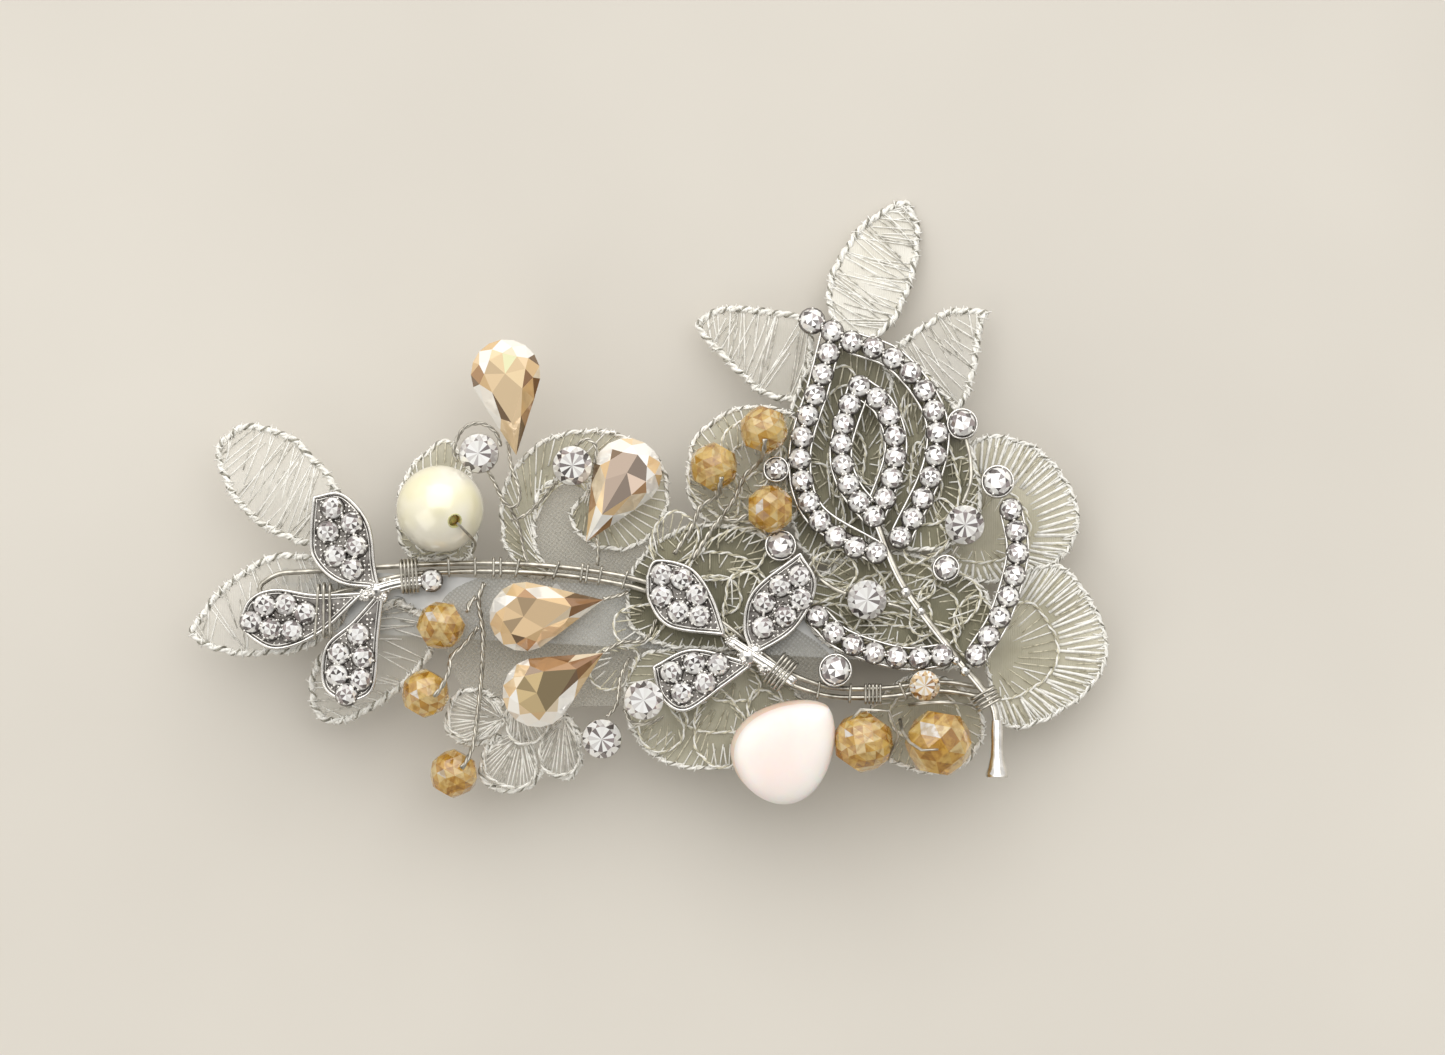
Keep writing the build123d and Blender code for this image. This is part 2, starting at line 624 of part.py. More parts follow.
def strip(points, width):
    """A flat band of the feather along a smooth line."""
    return Pos(0, 0, FEATHER_LIFT) * extrude(trace(Spline(*points), line_width=width), FEATHER_THICK)


def along(points, count, first=0.0, last=1.0):
    """Evenly spaced places on a smooth line."""
    line = Spline(*points)
    places = [line @ (first + (last - first) * i / (count - 1)) for i in range(count)]
    return [(p.X, p.Y) for p in places]


def feather():
    """The openwork leaf: two outer rows, an inner oval, two arms, the stem and its tail tube."""
    casting = strip(LEFT_ROW, FEATHER_WIDTH)
    for row in (RIGHT_ROW, INNER_RIGHT, INNER_LEFT, RIGHT_ARM, LEFT_ARM):
        casting += strip(row, FEATHER_WIDTH)
    casting += strip(FEATHER_STEM, 1.0)
    joints = [
        [(22.0, 32.9), (19.0, 33.8)], [(27.2, 7.5), (28.7, 8.0)], [(30.6, 9.4), (28.6, 8.0)],
        [(22.4, 32.1), (25.2, 31.4)], [(34.6, -4.6), (36.4, -4.8)], [(39.2, -4.2), (38.0, -6.8)],
    ]
    for start, end in joints:
        link = trace(Line(start, end), line_width=1.0)
        casting += Pos(0, 0, FEATHER_LIFT) * extrude(link, FEATHER_THICK)
    tail = Rotation(90, 0, 0) * Cone(0.75, 1.3, 6.4)
    casting += Pos(41.2, -15.4, FEATHER_LIFT + FEATHER_THICK / 2) * tail
    return FEATHER_PLACE * casting


STONE_LIFT = FEATHER_LIFT + FEATHER_THICK


def feather_stones(places, radius=SMALL_STONE_R):
    return [FEATHER_PLACE * solid for solid in stones_at(places, STONE_LIFT, radius)]


# Each side stone: its place and its radius, in a cup of its own beside the feather.
SIDE_STONES = [
    (22.9, -6.3, 1.5), (41.4, 15.2, 1.5), (35.5, 5.3, 1.15), (37.4, 21.8, 1.4), (16.7, 7.9, 1.4),
    (16.2, 16.6, 1.1),
]
CUP_WALL = 0.3


def side_cups():
    cups = [Pos(x, y, STONE_LIFT - 0.4) * Cylinder(r + CUP_WALL, 0.8) for x, y, r in SIDE_STONES]
    return [FEATHER_PLACE * cup for cup in cups]


def side_stones():
    return [FEATHER_PLACE * Pos(x, y, STONE_LIFT) * stone(r, STONE_HEIGHT) for x, y, r in SIDE_STONES]


# ---------------------------------------------------------------- crystals, beads and cabochon


def chaton(x, y, z, radius):
    """A round wired crystal: a point below, a girdle and a flat table."""
    profile = Polyline(
        (0, 0), (radius, 0.75 * radius), (radius, 0.85 * radius), (0.6 * radius, 1.3 * radius),
        (0, 1.3 * radius), close=True,
    )
    return Pos(x, y, z) * revolve(Plane.XZ * make_face(profile), Axis.Z)


CLEAR_R = 2.2
CHAMPAGNE_R = 1.7
CHAMPAGNE_PLACE = (33.0, -7.7, 12.2)
LEFT_CHATONS = [(-17.5, 18.6, 11.7), (-6.9, 17.2, 11.8), (1.2, -9.3, 13.05), (-3.6, -13.8, 10.2)]
RIGHT_CHATONS = [(26.5, 2.0, 10.2), (37.6, 10.5, 9.6)]


def teardrop(length, width, scale=1.0):
    """The corner points of a teardrop, its tip towards +x and its round end about the origin."""
    radius = width / 2
    reach = length - radius
    steps = 9
    tangent = math.acos(radius / reach)
    angles = [tangent + i * (2 * math.pi - 2 * tangent) / (steps - 1) for i in range(steps)]
    points = [(radius * math.cos(a) * scale, radius * math.sin(a) * scale) for a in angles]
    return [(reach * scale, 0), *points]


def teardrop_stone(length, width, levels):
    """A closed solid through teardrops of several scales, each level given as (height, scale)."""
    loops = []
    for height, scale in levels:
        corners = [(x, y, height) for x, y in teardrop(length, width, scale)]
        loops.append(Wire(Polyline(*corners, close=True).edges()))
    return loft([Face(loop) for loop in loops], ruled=True)


PEAR_LEVELS = [(0, 0.25), (2.1, 1.0), (2.4, 1.0), (4.2, 0.6)]
PEARS = {
    "pear_crystal_top": ((-14.5, 27.6), (-13.3, 18.4), 9.8),
    "pear_crystal_swirl": ((-0.7, 16.4), (-5.4, 8.5), 10.2),
    "pear_crystal_middle": ((-12.4, 0.1), (-3.4, 2.0), 10.3),
    "pear_crystal_lower": ((-10.9, -8.5), (-3.4, -4.0), 10.4),
}
PEAR_WIDTH = 7.9


def pointing(stone_solid, centre, tip, z):
    """Turn a teardrop so that its tip points from its centre to a place."""
    heading = math.degrees(math.atan2(tip[1] - centre[1], tip[0] - centre[0]))
    return Pos(*centre, z) * Rotation(0, 0, heading) * stone_solid


def pear(centre, tip, z):
    length = math.dist(centre, tip) + PEAR_WIDTH / 2
    return pointing(teardrop_stone(length, PEAR_WIDTH, PEAR_LEVELS), centre, tip, z)


CABOCHON_CENTRE = (16.6, -15.2)
CABOCHON_TIP = (21.9, -9.9)
CABOCHON_WIDTH = 11.0
CABOCHON_Z = 11.9
CABOCHON_LEVELS = [(0, 1.0), (1.2, 0.98), (2.4, 0.84), (3.2, 0.62), (3.6, 0.3)]
CABOCHON_BACK_THICK = 0.45


def cabochon():
    length = math.dist(CABOCHON_CENTRE, CABOCHON_TIP) + CABOCHON_WIDTH / 2
    dome = teardrop_stone(length, CABOCHON_WIDTH, CABOCHON_LEVELS)
    return pointing(dome, CABOCHON_CENTRE, CABOCHON_TIP, CABOCHON_Z)


def cabochon_setting():
    """The thin metal back under the cabochon."""
    length = math.dist(CABOCHON_CENTRE, CABOCHON_TIP) + CABOCHON_WIDTH / 2
    back = teardrop_stone(length, CABOCHON_WIDTH, [(0, 0.94), (CABOCHON_BACK_THICK, 0.97)])
    return pointing(back, CABOCHON_CENTRE, CABOCHON_TIP, CABOCHON_Z - CABOCHON_BACK_THICK - 0.02)


BEAD_BORE = 0.5


def bead(x, y, z, radius, length, heading):
    """A faceted bead with a bore, its bore lying along a heading."""
    half = length / 2
    profile = Polyline(
        (BEAD_BORE, -half), (0.7 * radius, -half), (radius, -0.35 * half), (radius, 0.35 * half),
        (0.7 * radius, half), (BEAD_BORE, half), close=True,
    )
    solid = revolve(Plane.XZ * make_face(profile), Axis.Z)
    return Pos(x, y, z) * Rotation(0, 0, heading) * Rotation(0, 90, 0) * solid


BEAD_R = 2.8
BEAD_LENGTH = 4.8
LEFT_BEADS = [(-21.8, -0.9, 12.8, 30), (-23.6, -8.6, 12.0, 60), (-20.5, -17.8, 9.6, 60)]
RIGHT_BEADS = [(14.8, 21.3, 12.0, 70), (9.1, 17.1, 12.0, 60), (15.5, 12.3, 12.5, 0)]
# Each large bead: its place, its radius, its length and its heading.
LARGE_LEFT = (26.1, -14.1, 12.8, 3.5, 6.4, 55)
LARGE_RIGHT = (34.6, -14.2, 12.8, 3.9, 6.8, 80)
PEARL_PLACE = (-21.9, 12.3, 13.1)
PEARL_R = 4.95
PEARL_BORE = 0.5
# The pearl's hole leans from upright towards a heading, both in degrees.
PEARL_DRILL_LEAN = 28
PEARL_DRILL_HEADING = -36


def small_beads(places):
    return [bead(x, y, z, BEAD_R, BEAD_LENGTH, heading) for x, y, z, heading in places]


def pearl():
    """A pearl drilled on a slant, so that its hole shows beside its top."""
    lean = Rotation(0, 0, PEARL_DRILL_HEADING) * Rotation(0, PEARL_DRILL_LEAN, 0)
    return Pos(*PEARL_PLACE) * (Sphere(PEARL_R) - lean * Cylinder(PEARL_BORE, 2.5 * PEARL_R))


# ---------------------------------------------------------------- writing the nodes


def write_barrette():
    write("clip_base_bar", BAR_PLACE * base_bar())
    write("clip_arm", BAR_PLACE * clasp_arm())
    write("hinge_pin", BAR_PLACE * hinge_pin())
    write("tension_bow", BAR_PLACE * tension_bow())
    write("latch_ear_back", BAR_PLACE * latch_ear(1))
    write("latch_ear_front", BAR_PLACE * latch_ear(-1))


def write_lace():
    for node, (strokes, root, heading, slope) in LACE.items():
        write(node, lace_piece(strokes, root, heading, slope))
    write("lace_small_flower", small_flower())
    write("tulle_backing", tulle())


def write_wires():
    write("vine_frame_wire", vine_frame())
    write("vine_bindings", *vine_bindings())
    write("branch_bindings", *branch_bindings())
    write("left_end_bindings", *left_end_bindings())
    for node, (diameter, lines) in WIRES.items():
        write(node, *[tube(points, diameter) for points in lines])


def write_castings():
    write("left_branch_casting", left_casting())
    write("left_branch_stones", *stones_at(LEFT_STONES, LEAF_Z + LEAF_THICK, PAVE_STONE_R))
    write("middle_branch_casting", middle_casting())
    write("middle_branch_stones", *stones_at(MIDDLE_STONES, LEAF_Z + LEAF_THICK, PAVE_STONE_R))
    write("feather_casting", feather())
    outer = [*along(LEFT_ROW, 13), *along(RIGHT_ROW, 12)]
    write("feather_outer_stones", *feather_stones(outer), *feather_stones(TOP_STONES, TOP_STONE_R))
    inner = [*along(INNER_RIGHT, 8), *along(INNER_LEFT, 8)[1:-1]]
    write("feather_inner_stones", *feather_stones(inner))
    arms = [*along(RIGHT_ARM, 8), *along(LEFT_ARM, 7)]
    write("feather_arm_stones", *feather_stones(arms))
    write("side_stone_cups", *side_cups())
    write("side_stones", *side_stones())


def write_crystals():
    write("chatons_left", *[chaton(x, y, z, CLEAR_R) for x, y, z in LEFT_CHATONS])
    write("chatons_right", *[chaton(x, y, z, CLEAR_R) for x, y, z in RIGHT_CHATONS])
    write("champagne_chaton", chaton(*CHAMPAGNE_PLACE, CHAMPAGNE_R))
    for node, (centre, tip, z) in PEARS.items():
        write(node, pear(centre, tip, z))
    write("amber_beads_left", *small_beads(LEFT_BEADS))
    write("amber_beads_right", *small_beads(RIGHT_BEADS))
    write("amber_large_left", bead(*LARGE_LEFT))
    write("amber_large_right", bead(*LARGE_RIGHT))
    write("pearl_bead", pearl())
    write("white_cabochon", cabochon())
    write("cabochon_setting", cabochon_setting())


os.makedirs("parts", exist_ok=True)
write_barrette()
write_lace()
write_wires()
write_castings()
write_crystals()
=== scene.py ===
import math
import random

import bmesh
import bpy
import numpy as np
from mathutils import Matrix, Vector, noise
from mathutils.geometry import delaunay_2d_cdt


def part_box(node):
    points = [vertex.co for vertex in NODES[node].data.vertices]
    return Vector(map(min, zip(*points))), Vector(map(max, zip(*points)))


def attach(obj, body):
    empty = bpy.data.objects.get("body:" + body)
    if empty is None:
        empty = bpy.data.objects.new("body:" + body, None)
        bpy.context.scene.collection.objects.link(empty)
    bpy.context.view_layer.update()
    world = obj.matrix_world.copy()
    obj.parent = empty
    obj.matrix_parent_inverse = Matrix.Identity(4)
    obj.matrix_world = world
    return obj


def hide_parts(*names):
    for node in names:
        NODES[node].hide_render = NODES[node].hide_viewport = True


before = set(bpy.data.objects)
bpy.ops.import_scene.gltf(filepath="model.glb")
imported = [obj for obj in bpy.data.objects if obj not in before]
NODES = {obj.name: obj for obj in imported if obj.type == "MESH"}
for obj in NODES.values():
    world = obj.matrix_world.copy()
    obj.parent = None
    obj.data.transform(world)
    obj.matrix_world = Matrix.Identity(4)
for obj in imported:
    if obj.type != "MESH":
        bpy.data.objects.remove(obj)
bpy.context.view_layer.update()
MM = 0.001
UP = np.array((0.0, 0.0, 1.0))

# The feather and the lace behind it are tilted about a line along X, as in the CAD.
FEATHER = (
    Matrix.Translation((0, -4 * MM, 9 * MM))
    @ Matrix.Rotation(math.radians(-5.5), 4, "X")
    @ Matrix.Translation((0, 4 * MM, 0))
)
LEVEL = Matrix.Identity(4)


# ---------------------------------------------------------------- materials


def principled(name, colour, roughness, **sockets):
    """A new material, its Principled shader and its node tree."""
    material = bpy.data.materials.new(name)
    material.use_nodes = True
    tree = material.node_tree
    shader = tree.nodes["Principled BSDF"]
    shader.inputs["Base Color"].default_value = (*colour, 1)
    shader.inputs["Roughness"].default_value = roughness
    for socket, value in sockets.items():
        shader.inputs[socket.replace("_", " ")].default_value = value
    return material, shader, tree


def texture(tree, kind, scale, **values):
    """A procedural texture in object coordinates."""
    place = tree.nodes.new("ShaderNodeTexCoord")
    node = tree.nodes.new(kind)
    node.inputs["Scale"].default_value = scale
    for socket, value in values.items():
        node.inputs[socket].default_value = value
    tree.links.new(place.outputs["Object"], node.inputs["Vector"])
    return node


def ramp(tree, source, stops):
    """A colour ramp on a source, with (position, colour) stops."""
    node = tree.nodes.new("ShaderNodeValToRGB")
    elements = node.color_ramp.elements
    for element, (position, colour) in zip(elements, stops):
        element.position = position
        element.color = (*colour, 1)
    for position, colour in stops[2:]:
        elements.new(position).color = (*colour, 1)
    tree.links.new(source, node.inputs["Fac"])
    return node


def bump(tree, shader, source, strength, distance):
    """Bumps the shader's surface by a source."""
    node = tree.nodes.new("ShaderNodeBump")
    node.inputs["Strength"].default_value = strength
    node.inputs["Distance"].default_value = distance
    tree.links.new(source, node.inputs["Height"])
    tree.links.new(node.outputs["Normal"], shader.inputs["Normal"])


def cloudy(tree, shader, scale, stops, detail):
    """Colours a shader by a ramp over noise and gives the noise."""
    clouds = texture(tree, "ShaderNodeTexNoise", scale, Detail=detail)
    tone = ramp(tree, clouds.outputs["Fac"], stops)
    tree.links.new(tone.outputs["Color"], shader.inputs["Base Color"])
    return clouds.outputs["Fac"]


def remap(tree, source, **ends):
    """A source's value spread over another range."""
    node = tree.nodes.new("ShaderNodeMapRange")
    for socket, value in ends.items():
        node.inputs[socket.replace("_", " ")].default_value = value
    tree.links.new(source, node.inputs["Value"])
    return node.outputs["Result"]


def metal(name, dark, light, roughness, scale=900):
    """Plated metal: its tone varies a little, with fine scratches."""
    material, shader, tree = principled(name, light, roughness, Metallic=1.0)
    clouds = cloudy(tree, shader, scale, [(0.3, dark), (0.65, light)], 4)
    bump(tree, shader, clouds, 0.12, 0.00004)
    return material


def faceted(name, metallic, roughness, transmission=0.0, coat=1.0):
    """Cut glass, each facet in the shade that its mesh gives it."""
    material, shader, tree = principled(
        name, (0.8, 0.8, 0.8), roughness, Metallic=metallic, IOR=1.6,
        Transmission_Weight=transmission, Coat_Weight=coat, Coat_Roughness=0.02,
    )
    facet = tree.nodes.new("ShaderNodeVertexColor")
    facet.layer_name = "facet"
    tree.links.new(facet.outputs["Color"], shader.inputs["Base Color"])
    return material


def amber_painted_refraction(name):
    """Amber glass: facet shades broken up by painted streaks of light and shade that stand for the
    refraction seen inside it.
    """
    material = faceted(name, 0.0, 0.04, 0.5)
    tree = material.node_tree
    shader = tree.nodes["Principled BSDF"]
    facet = tree.nodes["Color Attribute"]
    streaks = texture(tree, "ShaderNodeTexNoise", 620, Detail=3, Distortion=1.6)
    stops = [(0.38, (0.66, 0.55, 0.40)), (0.56, (1.0, 1.0, 1.0))]
    tone = ramp(tree, streaks.outputs["Fac"], stops)
    mix = tree.nodes.new("ShaderNodeVectorMath")
    mix.operation = "MULTIPLY"
    tree.links.new(facet.outputs["Color"], mix.inputs[0])
    tree.links.new(tone.outputs["Color"], mix.inputs[1])
    tree.links.new(mix.outputs["Vector"], shader.inputs["Base Color"])
    return material


def thread(name, dark, light, metallic):
    """Embroidery thread with a fine ply."""
    material, shader, tree = principled(
        name, light, 0.42, Metallic=metallic, Sheen_Weight=0.25, Sheen_Roughness=0.4
    )
    ply = cloudy(tree, shader, 1600, [(0.32, dark), (0.58, light)], 2)
    bump(tree, shader, ply, 0.4, 0.00008)
    return material


def organza(name, dark, light, alpha):
    """Sheer cloth: a fine crossed weave over a soft colour, partly see-through."""
    material, shader, tree = principled(name, light, 0.5, Alpha=alpha, Sheen_Weight=0.3)
    cloudy(tree, shader, 160, [(0.35, dark), (0.65, light)], 5)
    weave = texture(tree, "ShaderNodeTexWave", 1500, Distortion=1.5)
    bump(tree, shader, weave.outputs["Fac"], 0.35, 0.0001)
    return material


def net(name, colour):
    """Tulle: crossed diagonal threads with open holes between them."""
    material, shader, tree = principled(name, colour, 0.6)
    waves = []
    for turn in (38, -52):
        place = tree.nodes.new("ShaderNodeTexCoord")
        spin = tree.nodes.new("ShaderNodeMapping")
        spin.inputs["Rotation"].default_value = (0, 0, math.radians(turn))
        wave = tree.nodes.new("ShaderNodeTexWave")
        wave.inputs["Scale"].default_value = 780
        tree.links.new(place.outputs["Object"], spin.inputs["Vector"])
        tree.links.new(spin.outputs["Vector"], wave.inputs["Vector"])
        waves.append(wave.outputs["Fac"])
    either = tree.nodes.new("ShaderNodeMath")
    either.operation = "MAXIMUM"
    for source, socket in zip(waves, either.inputs):
        tree.links.new(source, socket)
    cover = remap(tree, either.outputs["Value"], From_Min=0.55, From_Max=0.95, To_Min=0.26, To_Max=0.5)
    tree.links.new(cover, shader.inputs["Alpha"])
    return material


def pearl_coat():
    """Cream pearl lacquer with a faint rosy bloom."""
    material, shader, tree = principled(
        "pearl", (0.92, 0.88, 0.70), 0.34,
        Metallic=0.12, Coat_Weight=1.0, Coat_Roughness=0.13, Coat_IOR=1.8,
    )
    cloudy(tree, shader, 170, [(0.38, (0.87, 0.82, 0.57)), (0.6, (0.91, 0.87, 0.74))], 2)
    return material


def milky(name, patch, ground):
    """A satin, slightly glowing solid with cloudy patches of another tone."""
    material, shader, tree = principled(
        name, ground, 0.38,
        Coat_Weight=0.25, Coat_Roughness=0.25, Subsurface_Weight=0.3, Subsurface_Scale=0.002,
    )
    cloudy(tree, shader, 110, [(0.4, ground), (0.62, patch)], 2)
    return material


SILVER = metal("silver_plate", (0.66, 0.64, 0.61), (0.88, 0.86, 0.83), 0.18)
WIRE = metal("silver_wire", (0.30, 0.28, 0.24), (0.66, 0.63, 0.56), 0.3)
OXIDE = metal("oxidised_recess", (0.10, 0.09, 0.085), (0.34, 0.32, 0.30), 0.42)
STEEL = metal("nickel_steel", (0.56, 0.56, 0.55), (0.66, 0.66, 0.65), 0.3, 300)
CORE = milky("bare_core", (0.80, 0.72, 0.30), (0.66, 0.56, 0.20))
CLEAR = faceted("clear_crystal", 0.22, 0.05)
CHAMPAGNE = faceted("champagne_crystal", 0.3, 0.05)
AMBER = amber_painted_refraction("amber_glass")
PEARL = pearl_coat()
MILKY = milky("milky_cabochon", (0.93, 0.80, 0.76), (0.94, 0.90, 0.86))
PEACH = milky("peach_edge", (0.85, 0.62, 0.50), (0.90, 0.74, 0.62))
WHITE_THREAD = thread("white_thread", (0.80, 0.78, 0.72), (0.99, 0.98, 0.94), 0.0)
DARK_THREAD = thread("dark_thread", (0.16, 0.15, 0.12), (0.40, 0.38, 0.32), 0.3)
SILVER_THREAD = thread("silver_thread", (0.42, 0.40, 0.35), (0.82, 0.80, 0.74), 0.45)
SHADE_THREAD = thread("shaded_thread", (0.34, 0.31, 0.21), (0.76, 0.72, 0.57), 0.2)
LEAF_CLOTH = organza("leaf_organza", (0.74, 0.72, 0.64), (0.92, 0.90, 0.84), 0.36)
# Below, the same cream organza in copies painted for light and shade: painted lit by the window on the top
# centre leaf, painted shade on the petals, deepest on the middle and feather petals.
LIT_CLOTH = organza("organza_painted_lit", (0.86, 0.83, 0.74), (1.0, 0.98, 0.91), 0.75)
DEEP_SHADE_CLOTH = organza("organza_painted_deep_shade", (0.16, 0.15, 0.09), (0.30, 0.28, 0.18), 0.9)
SHADED_CLOTH = organza("organza_painted_shade", (0.36, 0.34, 0.23), (0.58, 0.555, 0.42), 0.66)
HALF_SHADED_CLOTH = organza("organza_painted_half_shade", (0.50, 0.47, 0.33), (0.74, 0.70, 0.54), 0.62)
TULLE = net("tulle", (0.60, 0.585, 0.52))


# ---------------------------------------------------------------- mesh making


# The facet shade of every face that isn't cut glass.
PLAIN = (0.8, 0.8, 0.8)


class Build:
    """Gathers the vertices, faces, facet shades and material numbers of one piece."""

    def __init__(self):
        self.points = []
        self.faces = []
        self.shades = []
        self.slots = []

    def add(self, shape, slot=0, shades=None):
        """Adds (points, faces) in one material, plain or with a shade for each face."""
        points, faces = shape
        start = len(self.points)
        self.points += [tuple(p) for p in points]
        self.faces += [tuple(start + i for i in face) for face in faces]
        self.shades += shades or [PLAIN] * len(faces)
        self.slots += [slot] * len(faces)

    def piece(self, name, materials, smooth=True, slot=None, replaces=()):
        """Makes the mesh object, riding on the spray."""
        mesh = bpy.data.meshes.new(name)
        mesh.from_pydata(self.points, [], self.faces)
        for material in materials:
            mesh.materials.append(material)
        mesh.polygons.foreach_set("material_index", self.slots)
        mesh.polygons.foreach_set("use_smooth", [smooth] * len(self.faces))
        layer = mesh.color_attributes.new("facet", "FLOAT_COLOR", "CORNER")
        corners = [(*shade, 1) for face, shade in zip(self.faces, self.shades) for _ in face]
        layer.data.foreach_set("color", np.array(corners, dtype=float).ravel())
        obj = bpy.data.objects.new(name, mesh)
        bpy.context.scene.collection.objects.link(obj)
        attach(obj, "spray")
        if replaces:
            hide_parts(*replaces)
        return obj


def unit(vectors):
    """Vectors of length one."""
    lengths = np.linalg.norm(vectors, axis=-1, keepdims=True)
    return vectors / np.maximum(lengths, 1e-12)


def spokes(count, shift=0.0):
    """The cosines and sines of evenly spaced directions."""
    angles = [2 * math.pi * (k + shift) / count for k in range(count)]
    return [(math.cos(angle), math.sin(angle)) for angle in angles]


def band(low, high, count, turned=False):
    """Faces between two closed rows of points, given the number that each row starts at."""
    faces = []
    for k in range(count):
        after = (k + 1) % count
        if turned:
            faces.append((low + k, high + k, high + after, low + after))
        else:
            faces.append((low + k, low + after, high + after, high + k))
    return faces


def frames(path, closed):
    """The side and lift directions along a path."""
    if closed:
        ahead, behind = np.roll(path, -1, 0), np.roll(path, 1, 0)
    else:
        ahead = np.vstack([path[1:], 2 * path[-1] - path[-2]])
        behind = np.vstack([2 * path[0] - path[1], path[:-1]])
    run = unit(ahead - behind)
    side = np.cross(run, UP)
    steep = np.linalg.norm(side, axis=1) < 0.08
    side[steep] = np.cross(run[steep], np.array((1.0, 0.0, 0.0)))
    side = unit(side)
    return side, np.cross(side, run)


def tube(path, radius, sides, closed=False, ends=1.0):
    """A round tube along a path. An open one narrows to ends times its radius at both ends."""
    path = np.asarray(path, dtype=float)
    side, lift = frames(path, closed)
    count = len(path)
    width = np.full(count, radius)
    if not closed:
        width[0] *= ends
        width[-1] *= ends
    spoke = spokes(sides)
    points = []
    for i in range(count):
        points += [path[i] + width[i] * (across * side[i] + up * lift[i]) for across, up in spoke]
    faces = []
    for i in range(count if closed else count - 1):
        faces += band(i * sides, (i + 1) % count * sides, sides)
    if not closed:
        faces.append(tuple(range(sides - 1, -1, -1)))
        faces.append(tuple(range((count - 1) * sides, count * sides)))
    return points, faces


def resample(path, step, closed=False):
    """The same path with points evenly about a step apart."""
    path = np.asarray(path, dtype=float)
    if closed:
        path = np.vstack([path, path[:1]])
    reach = np.concatenate([[0], np.cumsum(np.linalg.norm(np.diff(path, axis=0), axis=1))])
    count = max(int(reach[-1] / step), 4)
    places = np.linspace(0, reach[-1], count + 1)
    even = np.column_stack([np.interp(places, reach, path[:, k]) for k in range(3)])
    return even[:-1] if closed else even


def smooth_line(points, step=0.25 * MM):
    """A smooth curve through points, evenly divided."""
    p = np.asarray(points, dtype=float)
    p = np.vstack([2 * p[0] - p[1], p, 2 * p[-1] - p[-2]])
    out = []
    for a, b, c, d in zip(p, p[1:], p[2:], p[3:]):
        for t in np.linspace(0, 1, 12, endpoint=False):
            square = (2 * a - 5 * b + 4 * c - d) * t**2
            cube = (3 * b - a - 3 * c + d) * t**3
            out.append(0.5 * (2 * b + (c - a) * t + square + cube))
    out.append(p[-2])
    return resample(out, step)


def level_line(points, height, step=0.3 * MM):
    """A smooth line through plan places at one height, all in mm."""
    return smooth_line([(x * MM, y * MM, height * MM) for x, y in points], step)


def rope(build, path, radius, pitch, slots=(0, 1), closed=False, sides=5, strands=2, thick=0.56):
    """Strands twisted round a path, each with its own material number."""
    path = resample(path, pitch / 9, closed)
    side, lift = frames(path, closed)
    gaps = np.linalg.norm(np.diff(path, axis=0), axis=1)
    reach = np.concatenate([[0], np.cumsum(gaps)])
    turns = 2 * math.pi / pitch
    if closed:
        whole = reach[-1] + np.linalg.norm(path[0] - path[-1])
        turns = 2 * math.pi * round(whole / pitch) / whole
    for k in range(strands):
        angle = reach * turns + 2 * math.pi * k / strands
        across = np.cos(angle)[:, None] * side + np.sin(angle)[:, None] * lift
        offset = (1 - thick) * radius * across
        build.add(tube(path + offset, thick * radius, sides, closed), slots[k % len(slots)])


def moved(shape, place):
    """A shape's points carried by a matrix."""
    points, faces = shape
    return [place @ Vector(p) for p in points], faces


def ball(radius, place, rings, sides):
    """A small round bead."""
    points = [Vector((0, 0, -radius))]
    for i in range(1, rings):
        tilt = math.pi * i / rings
        flat = radius * math.sin(tilt)
        points += [Vector((flat * x, flat * y, -radius * math.cos(tilt))) for x, y in spokes(sides)]
    points.append(Vector((0, 0, radius)))
    last = len(points) - 1
    faces = []
    for k in range(sides):
        n = (k + 1) % sides
        faces.append((0, 1 + n, 1 + k))
        faces.append((last, last - sides + k, last - sides + n))
        for i in range(rings - 2):
            a, b = 1 + i * sides, 1 + (i + 1) * sides
            faces.append((a + k, a + n, b + n, b + k))
    return [place @ p for p in points], faces


# ---------------------------------------------------------------- reading the frame


def welded(node):
    """A CAD node's mesh with its split corners joined."""
    work = bmesh.new()
    work.from_mesh(NODES[node].data)
    bmesh.ops.remove_doubles(work, verts=work.verts, dist=1e-6)
    return work


def islands(node, plane=LEVEL):
    """(place of the underside's centre, radius, height) of each loose solid, in its plane."""
    work = welded(node)
    back = plane.inverted()
    left = set(work.verts)
    found = []
    while left:
        queue = [left.pop()]
        points = []
        while queue:
            vert = queue.pop()
            points.append(back @ vert.co)
            for edge in vert.link_edges:
                other = edge.other_vert(vert)
                if other in left:
                    left.remove(other)
                    queue.append(other)
        low = Vector(min(p[k] for p in points) for k in range(3))
        high = Vector(max(p[k] for p in points) for k in range(3))
        centre = (low + high) / 2
        place = plane @ Matrix.Translation((centre.x, centre.y, low.z))
        found.append((place, (high.x - low.x) / 2, high.z - low.z))
    work.free()
    return sorted(found, key=lambda item: tuple(round(v, 6) for v in item[0].translation))


def top_outline(node):
    """The edge of a plate's top face as an ordered closed path."""
    work = welded(node)
    work.normal_update()
    upward = Vector()
    for face in work.faces:
        if face.normal.z > 0.6:
            upward += face.normal * face.calc_area()
    upward.normalize()
    top = [face for face in work.faces if face.normal.dot(upward) > 0.995]
    flat = set(top)
    following = {}
    for face in top:
        for loop in face.loops:
            neighbours = [other for other in loop.edge.link_faces if other in flat]
            if len(neighbours) == 1:
                following[loop.vert] = loop.link_loop_next.vert
    paths = []
    while following:
        # Each path starts at its rightmost corner, so that every run gives the same lace.
        start = max(following, key=lambda corner: (round(corner.co.x, 6), round(corner.co.y, 6)))
        vert = following.pop(start)
        path = [start.co.copy()]
        while vert in following:
            path.append(vert.co.copy())
            vert = following.pop(vert)
        paths.append(np.array([tuple(p) for p in path]))
    work.free()
    return max(paths, key=len)


